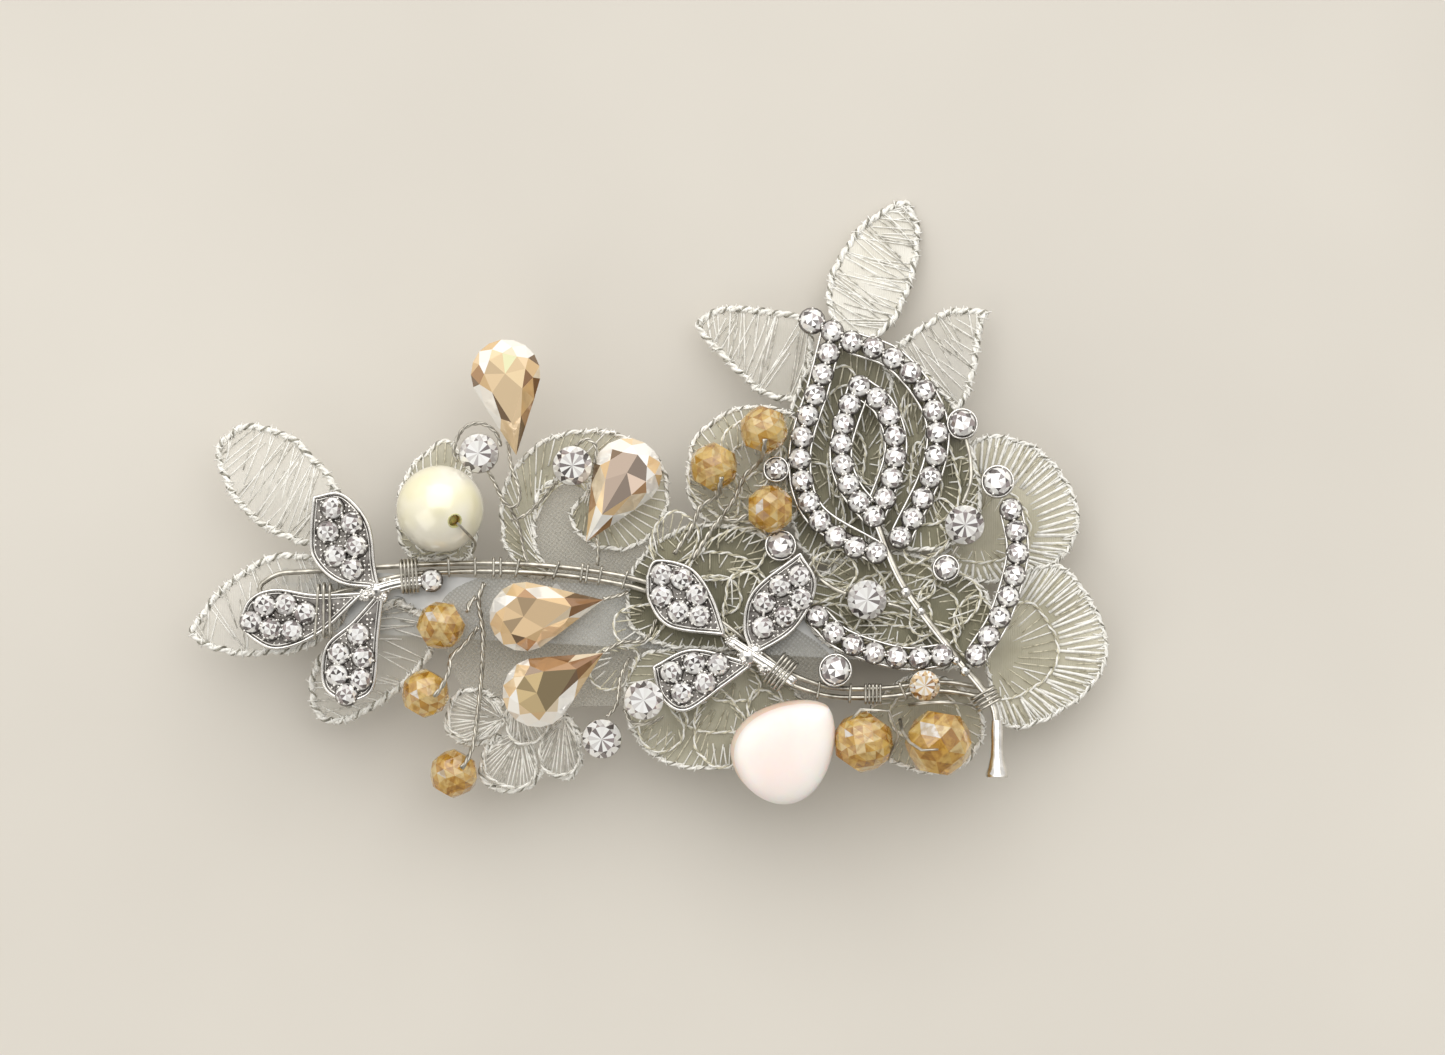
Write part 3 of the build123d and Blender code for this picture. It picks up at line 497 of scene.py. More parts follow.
def drop(points):
    """The soft unevenness of cloth: a small height that depends only on the place."""
    out = []
    for x, y, z in np.asarray(points, dtype=float):
        wave = noise.noise(Vector((x / (7 * MM), y / (7 * MM), 4.7)))
        fine = noise.noise(Vector((x / (2.4 * MM), y / (2.4 * MM), 9.1)))
        out.append((x, y, z + (0.45 * wave + 0.12 * fine) * MM))
    return np.array(out)


# ---------------------------------------------------------------- lace


def inside(point, ring):
    """Whether a plan point is inside a closed ring."""
    x, y = point
    crossings = 0
    for a, b in zip(ring, np.roll(ring, -1, 0)):
        if (a[1] > y) != (b[1] > y) and x < (b[0] - a[0]) * (y - a[1]) / (b[1] - a[1]) + a[0]:
            crossings += 1
    return crossings % 2 == 1


def plane_height(ring):
    """A function that gives the height of a flat ring's plane at a plan point."""
    system = np.column_stack([ring[:, 0], ring[:, 1], np.ones(len(ring))])
    slope, *_ = np.linalg.lstsq(system, ring[:, 2], rcond=None)
    return lambda x, y: slope[0] * x + slope[1] * y + slope[2]


def cloth(name, ring, material, nodes):
    """A sheer sheet filling a ring, given back with its plan size and its area."""
    edge = resample(ring, 0.9 * MM, closed=True)
    height = plane_height(edge)
    low, high = edge.min(0), edge.max(0)
    step = 1.0 * MM
    inner = []
    for i in range(int((high[0] - low[0]) / step)):
        for j in range(int((high[1] - low[1]) / step)):
            x, y = low[0] + (i + 0.5) * step, low[1] + (j + 0.5) * step
            near = np.min(np.hypot(edge[:, 0] - x, edge[:, 1] - y))
            if near > 0.5 * MM and inside((x, y), edge):
                inner.append((x, y))
    plan = [Vector((p[0], p[1])) for p in edge] + [Vector(p) for p in inner]
    edges = [(i, (i + 1) % len(edge)) for i in range(len(edge))]
    corners, _, faces, *_ = delaunay_2d_cdt(plan, edges, [], 1, 1e-7)
    points = drop([(p.x, p.y, height(p.x, p.y)) for p in corners])
    build = Build()
    build.add((points, faces))
    sheet = build.piece(name, [material], slot="lace", replaces=nodes)
    area = sum(face.area for face in sheet.data.polygons)
    return sheet, (float(high[0] - low[0]), float(high[1] - low[1])), area


def overcast(build, ring, radius, rng):
    """Short stitches across a cord, close together, as on a bound edge."""
    path = resample(ring, 0.7 * MM, closed=True)
    side, lift = frames(path, True)
    for i, p in enumerate(path):
        if rng.random() < 0.35:
            continue
        reach = radius * rng.uniform(1.0, 1.7)
        lean = (path[(i + 1) % len(path)] - p) * rng.uniform(-0.5, 0.5)
        line = [p - side[i] * reach - lean, p + lift[i] * radius * 1.05, p + side[i] * reach + lean]
        build.add(tube(line, 0.1 * MM, 4, ends=0.7))


THREAD = 0.085 * MM


def stitch(build, start, end, rng, slots, radius=THREAD):
    """One thread from point to point, bowed up a little, in one of the materials named."""
    slot = rng.choice(slots)
    start, end = np.asarray(start), np.asarray(end)
    rise = 0.25 * MM
    middle = 0.5 * (start + end) + UP * rise * rng.uniform(0.2, 1.0)
    first = 0.5 * (start + middle) + UP * rise * 0.3
    last = 0.5 * (end + middle) + UP * rise * 0.3
    build.add(tube([start, first, middle, last, end], radius, 4), slot)


def fan(build, ring, focus, near, far, gap, rng, slots=(0, 1), least=0.45, radius=THREAD):
    """Threads from near to far on the way from a ring to its focus, side by side."""
    focus = np.asarray(focus)
    for p in resample(ring, gap, closed=True):
        wander = np.array((rng.gauss(0, 0.16), rng.gauss(0, 0.16), 0)) * MM
        start = p + (focus - p) * near
        end = start + (focus - p) * (far - near) * rng.uniform(least, 1.0) + wander
        stitch(build, start, end, rng, slots, radius)


def halves(ring, first, last):
    """A ring's two sides between the points nearest to two plan places."""
    a = int(np.argmin(np.hypot(ring[:, 0] - first[0], ring[:, 1] - first[1])))
    b = int(np.argmin(np.hypot(ring[:, 0] - last[0], ring[:, 1] - last[1])))
    rolled = np.roll(ring, -a, 0)
    split = (b - a) % len(ring)
    one = rolled[: split + 1]
    other = np.vstack([rolled[split:], rolled[:1]])[::-1]
    return one, other


def at(path, t):
    """The point a share of the way along a path."""
    place = min(max(t, 0.0), 1.0) * (len(path) - 1)
    i = min(int(place), len(path) - 2)
    return path[i] + (path[i + 1] - path[i]) * (place - i)


def zigzag(build, ring, first, last, rng, passes):
    """Threads laid to and fro between a leaf's two sides, crossing as a net does."""
    one, other = halves(resample(ring, 0.4 * MM, closed=True), first, last)
    for _ in range(passes):
        t = rng.uniform(0.02, 0.12)
        sides = [one, other] if rng.random() < 0.5 else [other, one]
        while t < 0.97:
            ahead = t + rng.uniform(0.02, 0.16)
            start = at(sides[0], t)
            end = at(sides[1], ahead)
            reach = rng.uniform(0.5, 1.0)
            stitch(build, start, start + (end - start) * reach, rng, (0, 0, 1), 0.08 * MM)
            sides.reverse()
            t = ahead


def across(build, ring, first, last, rng, gap):
    """Threads straight across a band between its two sides."""
    step = 0.3 * MM
    one, other = halves(resample(ring, step, closed=True), first, last)
    count = int(0.5 * (len(one) + len(other)) * step / gap)
    for i in range(count):
        t = (i + 0.5) / count
        start = at(one, t)
        end = at(other, t + rng.uniform(-0.02, 0.02))
        middle = start + (end - start) * rng.uniform(0.3, 0.5)
        stitch(build, start, middle, rng, (0, 1))
        stitch(build, end, middle + (end - start) * rng.uniform(0.0, 0.3), rng, (0, 1))


# How far along a cord one turn of its strands goes.
FINE_PITCH = 1.9 * MM


def wavy(ring):
    """A ring with the small sideways unevenness of a hand-sewn edge."""
    side, _ = frames(ring, True)
    spots = ring / (1.9 * MM)
    shift = np.array([noise.noise(Vector((x, y, 2.2))) for x, y, _ in spots])
    return ring + side * shift[:, None] * 0.32 * MM


def bind_edge(build, ring, rng, radius):
    """A white two-ply cord round a ring, whipped with a dark thread and overcast with stitches."""
    rope(build, ring, radius, 2.2 * MM, (0, 0), closed=True)
    rope(build, ring, 1.12 * radius, FINE_PITCH, (2,), closed=True, strands=1, thick=0.3)
    overcast(build, ring, radius, rng)


def shrunk(ring, focus, share):
    """A ring drawn towards its focus."""
    return ring + (np.asarray(focus) - ring) * share


def edge_ring(node):
    """A lace node's outline, evenly divided, lifted and uneven as sewn cloth is."""
    ring = top_outline(node)
    return ring, wavy(drop(resample(ring, 0.3 * MM, closed=True)) + UP * 0.05 * MM)


def lace(node, seed, material, second_thread, embroider, cord=0.28 * MM):
    """One lace piece: sheer cloth, a corded edge and what embroider(build, outline, raised, rng) adds."""
    rng = random.Random(seed)
    outline, raised = edge_ring(node)
    sheet, flat, area = cloth(node + "_cloth", outline, material, [node])
    build = Build()
    bind_edge(build, raised, rng, cord)
    embroider(build, outline, raised, rng)
    threads = [WHITE_THREAD, second_thread, DARK_THREAD]
    embroidery = build.piece(node + "_embroidery", threads, slot="lace")


def leaf(node, tip, root, seed, passes, material):
    """A leaf: threads crossing between its tip and its root."""

    def embroider(build, _, raised, rng):
        zigzag(build, raised, np.array(tip) * MM, np.array(root) * MM, rng, passes)

    lace(node, seed, material, SILVER_THREAD, embroider, 0.4 * MM)


def petal(node, focus, seed, material, bands, dense):
    """A petal: corded rings nested towards its root, with stitches fanning between."""

    def embroider(build, outline, raised, rng):
        x, y = focus[0] * MM, focus[1] * MM
        root = np.array((x, y, plane_height(outline)(x, y) + 0.05 * MM))
        if dense:
            fan(build, raised, root, 0.02, 0.42, 1.0 * MM, rng, (0,), 0.75, 2 * THREAD)
            fan(build, raised, root, 0.0, 0.1, 0.5 * MM, rng, (0,))
        for near, far in zip(bands, bands[1:]):
            fan(build, raised, root, near, near + 0.85 * (far - near), 1.05 * MM / (1 - near), rng)
            if far < 0.85:
                inner = shrunk(raised, root, far) + UP * 0.15 * MM
                rope(build, inner, 0.22 * MM, FINE_PITCH, closed=True)

    lace(node, seed, material, SHADE_THREAD, embroider)


def swirl():
    """The curled band of lace, threads straight across it."""
    tip, root = np.array((-5.8, 13.5)) * MM, np.array((-10.8, 4.8)) * MM

    def embroider(build, _, raised, rng):
        across(build, raised, tip, root, rng, 0.8 * MM)

    lace("lace_swirl", 31, SHADED_CLOTH, SHADE_THREAD, embroider)


def oval(x, y, z, length, width, heading, plane=LEVEL):
    """A petal-shaped ring: rounded at its far end and narrower at its near end."""
    turn = math.radians(heading)
    points = []
    for i in range(48):
        a = 2 * math.pi * i / 48
        u = 0.5 * length * math.cos(a)
        v = 0.5 * width * math.sin(a) * (1 + 0.28 * math.cos(a))
        px = x + u * math.cos(turn) - v * math.sin(turn)
        py = y + u * math.sin(turn) + v * math.cos(turn)
        points.append(tuple(plane @ (Vector((px, py, z)) * MM)))
    return drop(points)


def foot(x, y, z, length, heading, share):
    """The place towards a petal's near end where its threads meet."""
    turn = math.radians(heading)
    return Vector((x - share * length * math.cos(turn), y - share * length * math.sin(turn), z)) * MM


# The small overlapping petals of the lace: x, y, height, length, width, heading, in mm.
LEVEL_PETALS = [
    (10.8, 7.0, 10.8, 9.5, 5.0, 25), (4.4, 8.2, 10.8, 7.5, 5.0, 70), (1.0, -0.6, 10.9, 6.5, 4.2, 200),
    (-2.2, -5.6, 9.8, 6.0, 4.4, 215), (12.2, 1.6, 10.9, 7.5, 4.0, 75), (9.8, -12.6, 9.9, 9.0, 6.0, 280),
    (3.6, -11.6, 9.9, 7.4, 5.0, 250), (15.4, -11.4, 9.9, 7.0, 4.6, 300), (21.8, 4.4, 10.6, 7.5, 4.8, 40),
    (13.2, 18.0, 9.9, 9.0, 6.4, 80), (9.4, 14.6, 9.9, 7.6, 5.0, 120),
]
TILTED_PETALS = [
    (26.9, 20.5, 1.7, 11.0, 5.2, 92), (21.6, 13.0, 1.6, 9.5, 4.2, 110), (31.8, 21.5, 1.9, 12.5, 3.4, 78),
    (23.2, 24.5, 1.6, 8.5, 3.6, 80), (24.6, 5.2, 1.4, 9.0, 4.6, 150), (33.4, 9.6, 1.9, 8.0, 5.4, 60),
    (36.6, 13.8, 1.7, 8.5, 5.0, 80), (35.2, 1.2, 1.5, 9.0, 5.8, 40), (38.6, -1.4, 1.3, 7.0, 4.6, 80),
    (29.4, -1.8, 1.3, 9.0, 4.2, 185), (24.2, -0.9, 1.3, 7.0, 3.8, 160), (31.0, 3.6, 1.4, 7.0, 4.2, 20),
]


def small_petals():
    """The small petals that overlap over the large ones, cord edges and threads only."""
    build = Build()
    rng = random.Random(71)
    for plane, petals in ((LEVEL, LEVEL_PETALS), (FEATHER, TILTED_PETALS)):
        for x, y, z, length, width, heading in petals:
            ring = oval(x, y, z, length, width, heading, plane)
            rope(build, wavy(ring), 0.2 * MM, FINE_PITCH, closed=True)
            near = plane @ foot(x, y, z, length, heading, 0.42)
            fan(build, ring, near, 0.02, 0.5, 1.15 * MM, rng, (0, 1, 1))
    build.piece("lace_small_petals", [WHITE_THREAD, SHADE_THREAD], slot="lace")


# The small flower's petals: x, y, length, width, heading.
FLOWER_PETALS = [
    (-17.9, -11.3, 6.4, 5.4, 175), (-13.9, -16.2, 6.4, 5.8, 250), (-8.4, -14.5, 7.0, 4.4, 262),
    (-12.3, -11.6, 5.6, 4.4, 290),
]


def flower():
    """The small flower on its sheer ground, threads lying lengthwise on each petal."""

    def embroider(build, outline, _, rng):
        height = plane_height(outline)
        for x, y, length, width, heading in FLOWER_PETALS:
            top = height(x * MM, y * MM) / MM + 0.35
            edge = oval(x, y, top, length, width, heading)
            rope(build, wavy(edge), 0.24 * MM, FINE_PITCH, closed=True)
            near = foot(x, y, top + 0.4, length, heading, 0.5)
            fan(build, edge, near, 0.02, 0.95, 0.5 * MM, rng, (0, 0, 1))

    lace("lace_small_flower", 17, LEAF_CLOTH, SILVER_THREAD, embroider, 0.3 * MM)


def tulle():
    """The net between the lace pieces."""
    ring = top_outline("tulle_backing")
    sheet, flat, area = cloth("tulle_net", ring, TULLE, ["tulle_backing"])


# ---------------------------------------------------------------- cut stones

# The shades of cut glass: its flash towards the window, its body tones and its dark reflections.
CLEAR_SHADES = {
    "flash": [(1.0, 1.0, 1.0), (0.96, 0.96, 0.94)],
    "body": [(0.92, 0.91, 0.90), (0.74, 0.72, 0.71), (0.55, 0.52, 0.52)],
    "dark": [(0.10, 0.085, 0.085), (0.22, 0.19, 0.19), (0.34, 0.29, 0.29)],
}
CHAMPAGNE_SHADES = {
    "flash": [(1.0, 0.98, 0.94), (0.98, 0.93, 0.86)],
    "body": [(0.90, 0.68, 0.42), (0.78, 0.54, 0.28), (0.86, 0.72, 0.52)],
    "dark": [(0.30, 0.15, 0.06), (0.46, 0.26, 0.12), (0.20, 0.12, 0.06)],
}
AMBER_SHADES = [
    (0.94, 0.63, 0.16), (0.84, 0.50, 0.09), (1.0, 0.80, 0.38), (0.66, 0.36, 0.05), (0.98, 0.72, 0.26),
]
ROUND = spokes(32)


def drop_outline(length, width):
    """32 points round a teardrop whose round end is about the origin and whose tip is towards +x."""
    radius = width / 2
    reach = length - radius
    tangent = math.acos(radius / reach)
    end = (radius * math.cos(tangent), radius * math.sin(tangent))
    points = [(reach, 0.0)]
    for i in range(1, 32):
        if 4 < i < 28:
            angle = tangent + (i - 5) / 22 * (2 * math.pi - 2 * tangent)
            points.append((radius * math.cos(angle), radius * math.sin(angle)))
        else:
            # On a straight side, between the tip and where the round end begins.
            sign = 1 if i <= 4 else -1
            t = (i if i <= 4 else 32 - i) / 5
            points.append((reach + (end[0] - reach) * t, end[1] * sign * t))
    return points


def gem(outline, girdle, crown, height, table, sides):
    """A cut stone: pavilion, girdle, three rows of crown facets and a table of wedges.

    The outline has 32 points; heights are from the stone's lowest point.
    """
    step = 32 // sides
    half = step // 2

    def ring(scale, z, shift, every):
        chosen = [outline[(i * every + shift) % 32] for i in range(32 // every)]
        return [(x * scale, y * scale, z) for x, y in chosen]

    points = [(0, 0, 0.0)]
    low = ring(1.0, girdle, 0, half)
    high = ring(1.0, crown, 0, half)
    middle = ring(0.8, crown + 0.62 * (height - crown), half, step)
    flat = ring(table, height, 0, step)
    starts = []
    for row in (low, high, middle, flat):
        starts.append(len(points))
        points += row
    low0, high0, mid0, top0 = starts
    centre = len(points)
    points.append((0, 0, height))
    faces = []
    for i in range(2 * sides):
        n = (i + 1) % (2 * sides)
        faces.append((0, low0 + n, low0 + i))
        faces.append((low0 + i, low0 + n, high0 + n, high0 + i))
    for i in range(sides):
        n = (i + 1) % sides
        faces.append((high0 + 2 * i, high0 + 2 * i + 1, mid0 + i))
        faces.append((high0 + 2 * i + 1, high0 + (2 * i + 2) % (2 * sides), mid0 + i))
        faces.append((high0 + 2 * n, mid0 + n, top0 + n, mid0 + i))
        faces.append((mid0 + i, top0 + n, top0 + i))
        faces.append((top0 + i, top0 + n, centre))
    return points, faces


def gem_shades(sides, palette, rng, table=None):
    """Painted flashes, body tones and painted dark reflections in the order of a gem's faces, the table's
    wedges painted light and dark by turns.
    """
    shades = []
    for _ in range(2 * sides):
        shades += [rng.choice(palette["body"]), rng.choice(palette["dark"])]
    for i in range(sides):
        crown = ("flash", "flash", "body", "dark")
        shades += [rng.choice(palette[rng.choice(crown)]) for _ in range(3)]
        shades.append(rng.choice(palette["dark" if i % 2 else "body"]))
        wedge = rng.choice(palette["flash" if i % 2 else rng.choice(("body", "dark"))])
        if table:
            tint = rng.choice((0.5, 0.8, 1.0, 1.15, 1.5))
            wedge = tuple(min(channel * tint, 1.0) for channel in table)
        shades.append(wedge)
    return shades


def round_gem(radius, girdle, crown, height, table, sides):
    """A gem with a round outline."""
    return gem([(x * radius, y * radius) for x, y in ROUND], girdle, crown, height, table, sides)


def hoop(place, radius, height, wire, sides=5, every=2):
    """A round wire bent into a circle at a height above a place."""
    circle = [tuple(place @ Vector((radius * x, radius * y, height))) for x, y in ROUND[::every]]
    return tube(circle, wire, sides, closed=True)


def set_stone(stones, metal_work, place, radius, height, rng):
    """A small rhinestone with its cup: a wall, a foot and four prongs."""
    sides = 8
    shape = round_gem(radius * 1.02, 0.25 * height, 0.42 * height, height, 0.58, sides)
    turn = place @ Matrix.Rotation(rng.uniform(0, 0.8), 4, "Z")
    stones.add(moved(shape, turn), 0, gem_shades(sides, CLEAR_SHADES, rng))
    wall = radius * 1.05
    metal_work.add(hoop(place, wall, 0.22 * height, 0.12 * MM), 1)
    metal_work.add(hoop(place, wall, -0.1 * height, 0.2 * MM), 1)
    for k in range(4):
        angle = math.pi * (0.25 + 0.5 * k)
        spot = Matrix.Translation((wall * math.cos(angle), wall * math.sin(angle), 0.5 * height))
        metal_work.add(ball(0.2 * MM, turn @ spot, 4, 6))


def stones(node, plane=LEVEL):
    """All the rhinestones of one node in their cups, and the tiny beads between neighbours."""
    rng = random.Random(len(node))
    gems, metal_work = Build(), Build()
    found = islands(node, plane)
    for place, radius, height in found:
        set_stone(gems, metal_work, place, radius, height, rng)
    for i, (one, _, height) in enumerate(found):
        for other, _, _ in found[i + 1:]:
            gap = (one.translation - other.translation).length
            if gap < 3.0 * MM:
                middle = (one.translation + other.translation) / 2
                spot = one.copy()
                spot.translation = middle + Vector((0, 0, 0.35 * height))
                metal_work.add(ball(0.24 * MM, spot, 4, 6))
    gems.piece(node + "_cut", [CLEAR], smooth=False, slot="clear_rhinestone", replaces=[node])
    metal_work.piece(node + "_cups", [SILVER, OXIDE], slot="antique_silver")


def chatons(node, palette, material, slot):
    """The larger round crystals, each with a fine rim."""
    rng = random.Random(5)
    sides = 16
    gems, rims = Build(), Build()
    for place, radius, height in islands(node):
        shape = round_gem(radius, 0.56 * height, 0.64 * height, height, 0.66, sides)
        shades = gem_shades(sides, palette, rng)
        turn = place @ Matrix.Rotation(rng.uniform(0, 0.8), 4, "Z")
        gems.add(moved(shape, turn), 0, shades)
        rims.add(hoop(place, radius, 0.58 * height, 0.1 * MM))
    gems.piece(node + "_cut", [material], smooth=False, slot=slot, replaces=[node])
    rims.piece(node + "_rims", [WIRE], slot="silver_wire")


# Each pear-cut crystal: the centre of its round end, its tip, the tone seen through its table and
# the heading of the side of its crown painted with highlights, towards the window.
PEARS = {
    "pear_crystal_top": ((-14.5, 27.6), (-13.3, 18.4), (0.90, 0.68, 0.42), 100),
    "pear_crystal_swirl": ((-0.7, 16.4), (-5.4, 8.5), (0.60, 0.47, 0.38), 50),
    "pear_crystal_middle": ((-12.4, 0.1), (-3.4, 2.0), (0.88, 0.64, 0.38), 165),
    "pear_crystal_lower": ((-10.9, -8.5), (-3.4, -4.0), (0.50, 0.38, 0.20), 215),
}


def facing(points, face):
    """A face's unit normal."""
    a, b, c = (Vector(points[i]) for i in face[:3])
    return (b - a).cross(c - a).normalized()


def lying(centre, tip, height):
    """A teardrop's frame: at its round end's centre, x towards its tip. Plan places in mm."""
    heading = math.atan2(tip[1] - centre[1], tip[0] - centre[0])
    place = Matrix.Translation((centre[0] * MM, centre[1] * MM, height))
    return place @ Matrix.Rotation(heading, 4, "Z")


def pear(node, seed):
    """A pear-cut crystal, its crown painted mostly white with highlights on the side towards the window and
    mostly in brown body tones on the other.
    """
    rng = random.Random(seed)
    centre, tip, tone, white = PEARS[node]
    low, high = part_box(node)
    width = 7.9
    length = math.dist(centre, tip) + width / 2
    outline = [(x * MM, y * MM) for x, y in drop_outline(length, width)]
    height = high[2] - low[2]
    sides = 8
    shape = gem(outline, 0.5 * height, 0.57 * height, height, 0.6, sides)
    points, faces = moved(shape, lying(centre, tip, low[2]))
    shades = gem_shades(sides, CHAMPAGNE_SHADES, rng, tone)
    # Crown facets facing the window get painted highlights; those facing away get painted body tones and
    # dark reflections.
    window = Vector((math.cos(math.radians(white)), math.sin(math.radians(white)), 0))
    for i, face in enumerate(faces):
        normal = facing(points, face)
        on_crown = 0.1 < normal.z < 0.99
        if on_crown and normal.dot(window) > 0.25:
            shades[i] = rng.choice(CHAMPAGNE_SHADES[rng.choice(("flash", "flash", "body"))])
        elif on_crown and normal.dot(window) < -0.3:
            shades[i] = rng.choice(CHAMPAGNE_SHADES[rng.choice(("flash", "body", "body", "dark"))])
    build = Build()
    build.add((points, faces), 0, shades)
    build.piece(node + "_cut", [CHAMPAGNE], smooth=False, slot="champagne_crystal", replaces=[node])


def bead_shape(radius, length, sides, rows, bore):
    """A faceted bead about its x axis, with staggered triangular facets and an open bore."""
    points, faces = [], []
    for i in range(rows + 1):
        t = i / rows
        x = -length / 2 + length * t
        swell = math.sin(math.pi * (0.16 + 0.68 * t))
        least = math.sin(0.16 * math.pi)
        r = radius * (swell - least) / (1 - least) * 0.5 + radius * 0.5
        points += [(x, r * across, r * up) for across, up in spokes(sides, 0.5 * (i % 2))]
    for i in range(rows):
        for k in range(sides):
            n = (k + 1) % sides
            a, b = i * sides, (i + 1) * sides
            if i % 2 == 0:
                faces += [(a + k, a + n, b + k), (b + k, a + n, b + n)]
            else:
                faces += [(a + k, b + n, b + k), (a + k, a + n, b + n)]
    for end, row in ((-1, 0), (1, rows)):
        outer = row * sides
        for x in (end * length / 2 * 0.96, 0):
            inner = len(points)
            points += [(x, bore * across, bore * up) for across, up in spokes(sides)]
            faces += band(outer, inner, sides)
            outer = inner
    return points, faces


def middle_height(points, face):
    """The mean height of a face's corners."""
    return sum(points[i][2] for i in face) / len(face)


def beads(node, headings, sides, rows, seed):
    """Faceted amber beads at a node's solids, each bored along its heading."""
    rng = random.Random(seed)
    build = Build()
    for (place, _, height), heading in zip(islands(node), headings):
        radius = height / 2
        shape = bead_shape(radius, 1.75 * radius, sides, rows, 0.5 * MM)
        turn = Matrix.Rotation(math.radians(heading), 4, "Z")
        spot = place @ Matrix.Translation((0, 0, radius)) @ turn @ Matrix.Rotation(rng.uniform(0, 1), 4, "X")
        points, faces = moved(shape, spot)
        shades = [rng.choice(AMBER_SHADES) for _ in faces]
        # Two upper facets facing the light are painted white as highlights.
        glint = Vector((-0.42, rng.uniform(-0.1, 0.4), 0.85)).normalized()
        brightest = sorted(range(len(faces)), key=lambda i: -abs(facing(points, faces[i]).dot(glint)))
        lit = [i for i in brightest if middle_height(points, faces[i]) > spot.translation.z]
        for i in lit[:2]:
            shades[i] = (1.0, 1.0, 1.0)
        build.add((points, faces), 0, shades)
    build.piece(node + "_cut", [AMBER], smooth=False, slot="amber_glass", replaces=[node])


def pearl():
    """The drilled pearl: a sphere open at both ends of its slanting bore."""
    low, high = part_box("pearl_bead")
    radius = (high[2] - low[2]) / 2
    centre = Vector((-21.9 * MM, 12.3 * MM, (high[2] + low[2]) / 2))
    turn = Matrix.Rotation(math.radians(-36), 4, "Z") @ Matrix.Rotation(math.radians(28), 4, "Y")
    place = Matrix.Translation(centre) @ turn
    sides, rows = 64, 40
    hole = 0.7 * MM
    first = math.asin(hole / radius)
    points, faces = [], []
    for i in range(rows + 1):
        tilt = first + (math.pi - 2 * first) * i / rows
        flat = radius * math.sin(tilt)
        points += [(flat * x, flat * y, radius * math.cos(tilt)) for x, y in spokes(sides)]
    for i in range(rows):
        faces += band(i * sides, (i + 1) * sides, sides, turned=True)
    build = Build()
    build.add(moved((points, faces), place))
    rim = [(hole * x, hole * y, radius * 0.985) for x, y in ROUND]
    depth = [(hole * x, hole * y, 0.82 * radius) for x, y in ROUND]
    bottom = tuple(range(63, 31, -1))
    build.add(moved((rim + depth, band(0, 32, 32) + [bottom]), place), 1)
    build.add(hoop(place, 1.12 * hole, 0.985 * radius, 0.07 * MM, every=1), 1)
    build.piece("pearl_lacquered", [PEARL, CORE], slot="pearl", replaces=["pearl_bead"])


def cabochon():
    """The milky teardrop: an upright peach edge under a smooth dome."""
    low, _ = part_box("white_cabochon")
    centre, tip, width = (16.6, -15.2), (21.9, -9.9), 11.0
    back = width / 2
    reach = math.dist(centre, tip)
    smooth = []
    for i in range(96):
        a = 2 * math.pi * i / 96
        narrow = (0.5 - 0.5 * math.cos(a)) ** 0.16
        x = 0.5 * (reach - back) + 0.5 * (reach + back) * math.cos(a)
        smooth.append((x, 1.06 * back * math.sin(a) * narrow * (1 - 0.12 * math.cos(a))))
    count = len(smooth)
    wall, rise = 1.9, 3.6
    rows = [(0.99, 0.0), (1.0, 0.5), (0.985, wall)]
    for a in np.linspace(0.2, 1.5, 14):
        rows.append((0.97 * math.cos(a) ** 0.7, wall + (rise - wall) * math.sin(a)))
    points = [(x * s * MM, (y * s - 0.28 * min(z, 2)) * MM, z * MM) for s, z in rows for x, y in smooth]
    edge, dome = [], []
    for i in range(len(rows) - 1):
        faces = edge if i < 2 else dome
        faces += band(i * count, (i + 1) * count, count)
    dome.append(tuple(range((len(rows) - 1) * count, len(rows) * count)))
    edge.append(tuple(range(count - 1, -1, -1)))
    build = Build()
    build.add(moved((points, dome + edge), lying(centre, tip, low[2])))
    for i in range(len(dome), len(dome) + len(edge)):
        build.slots[i] = 1
    build.piece("cabochon_polished", [MILKY, PEACH], slot="white_cabochon", replaces=["white_cabochon"])


# ---------------------------------------------------------------- castings


def rim_of(build, ring, radius, rise):
    """A round bright rim along a ring."""
    build.add(tube(resample(ring, 0.3 * MM, closed=True) + UP * rise, radius, 6, closed=True))


def inset(ring, distance):
    """A ring drawn inwards by a distance."""
    side, _ = frames(ring, True)
    area = np.sum(ring[:, 0] * np.roll(ring[:, 1], -1) - np.roll(ring[:, 0], -1) * ring[:, 1])
    return ring - side * distance * (1 if area > 0 else -1)


# The height of the pavé leaves' rims and of the castings' stems and hubs, in mm.
LEAF_TOP = 12.9
HUB = 12.7
# Each casting's leaves as two smooth strokes from tip to hub and back, in mm, as in the CAD.
LEFT_LEAVES = [
    ([(-36.2, 13.6), (-33.0, 13.9), (-30.1, 10.6), (-29.4, 5.8), (-28.9, 3.4)],
     [(-28.9, 3.4), (-33.4, 4.1), (-36.2, 6.8), (-36.5, 10.0), (-36.2, 13.6)]),
    ([(-44.6, -0.6), (-43.4, 2.0), (-40.6, 3.1), (-36.1, 2.5), (-30.8, 2.7)],
     [(-30.8, 2.7), (-35.5, -1.6), (-40.2, -3.5), (-43.2, -2.3), (-44.6, -0.6)]),
    ([(-28.4, 3.2), (-29.0, -2.2), (-29.6, -8.0), (-32.4, -9.7)],
     [(-32.4, -9.7), (-35.0, -7.8), (-34.8, -3.4), (-31.8, -0.6), (-28.4, 3.2)]),
]
MIDDLE_LEAVES = [
    ([(1.6, 4.6), (2.6, 6.4), (6.5, 5.5), (8.8, 2.4), (10.3, -1.9)],
     [(10.3, -1.9), (4.2, -1.0), (1.9, 1.8), (1.6, 4.6)]),
    ([(18.9, 7.2), (20.6, 3.6), (18.2, -1.2), (13.6, -4.2)],
     [(13.6, -4.2), (12.6, -1.0), (13.7, 3.0), (18.9, 7.2)]),
    ([(2.3, -5.6), (6.8, -3.7), (13.4, -5.3)],
     [(13.4, -5.3), (10.0, -7.8), (5.9, -10.5), (3.2, -9.0), (2.3, -5.6)]),
]


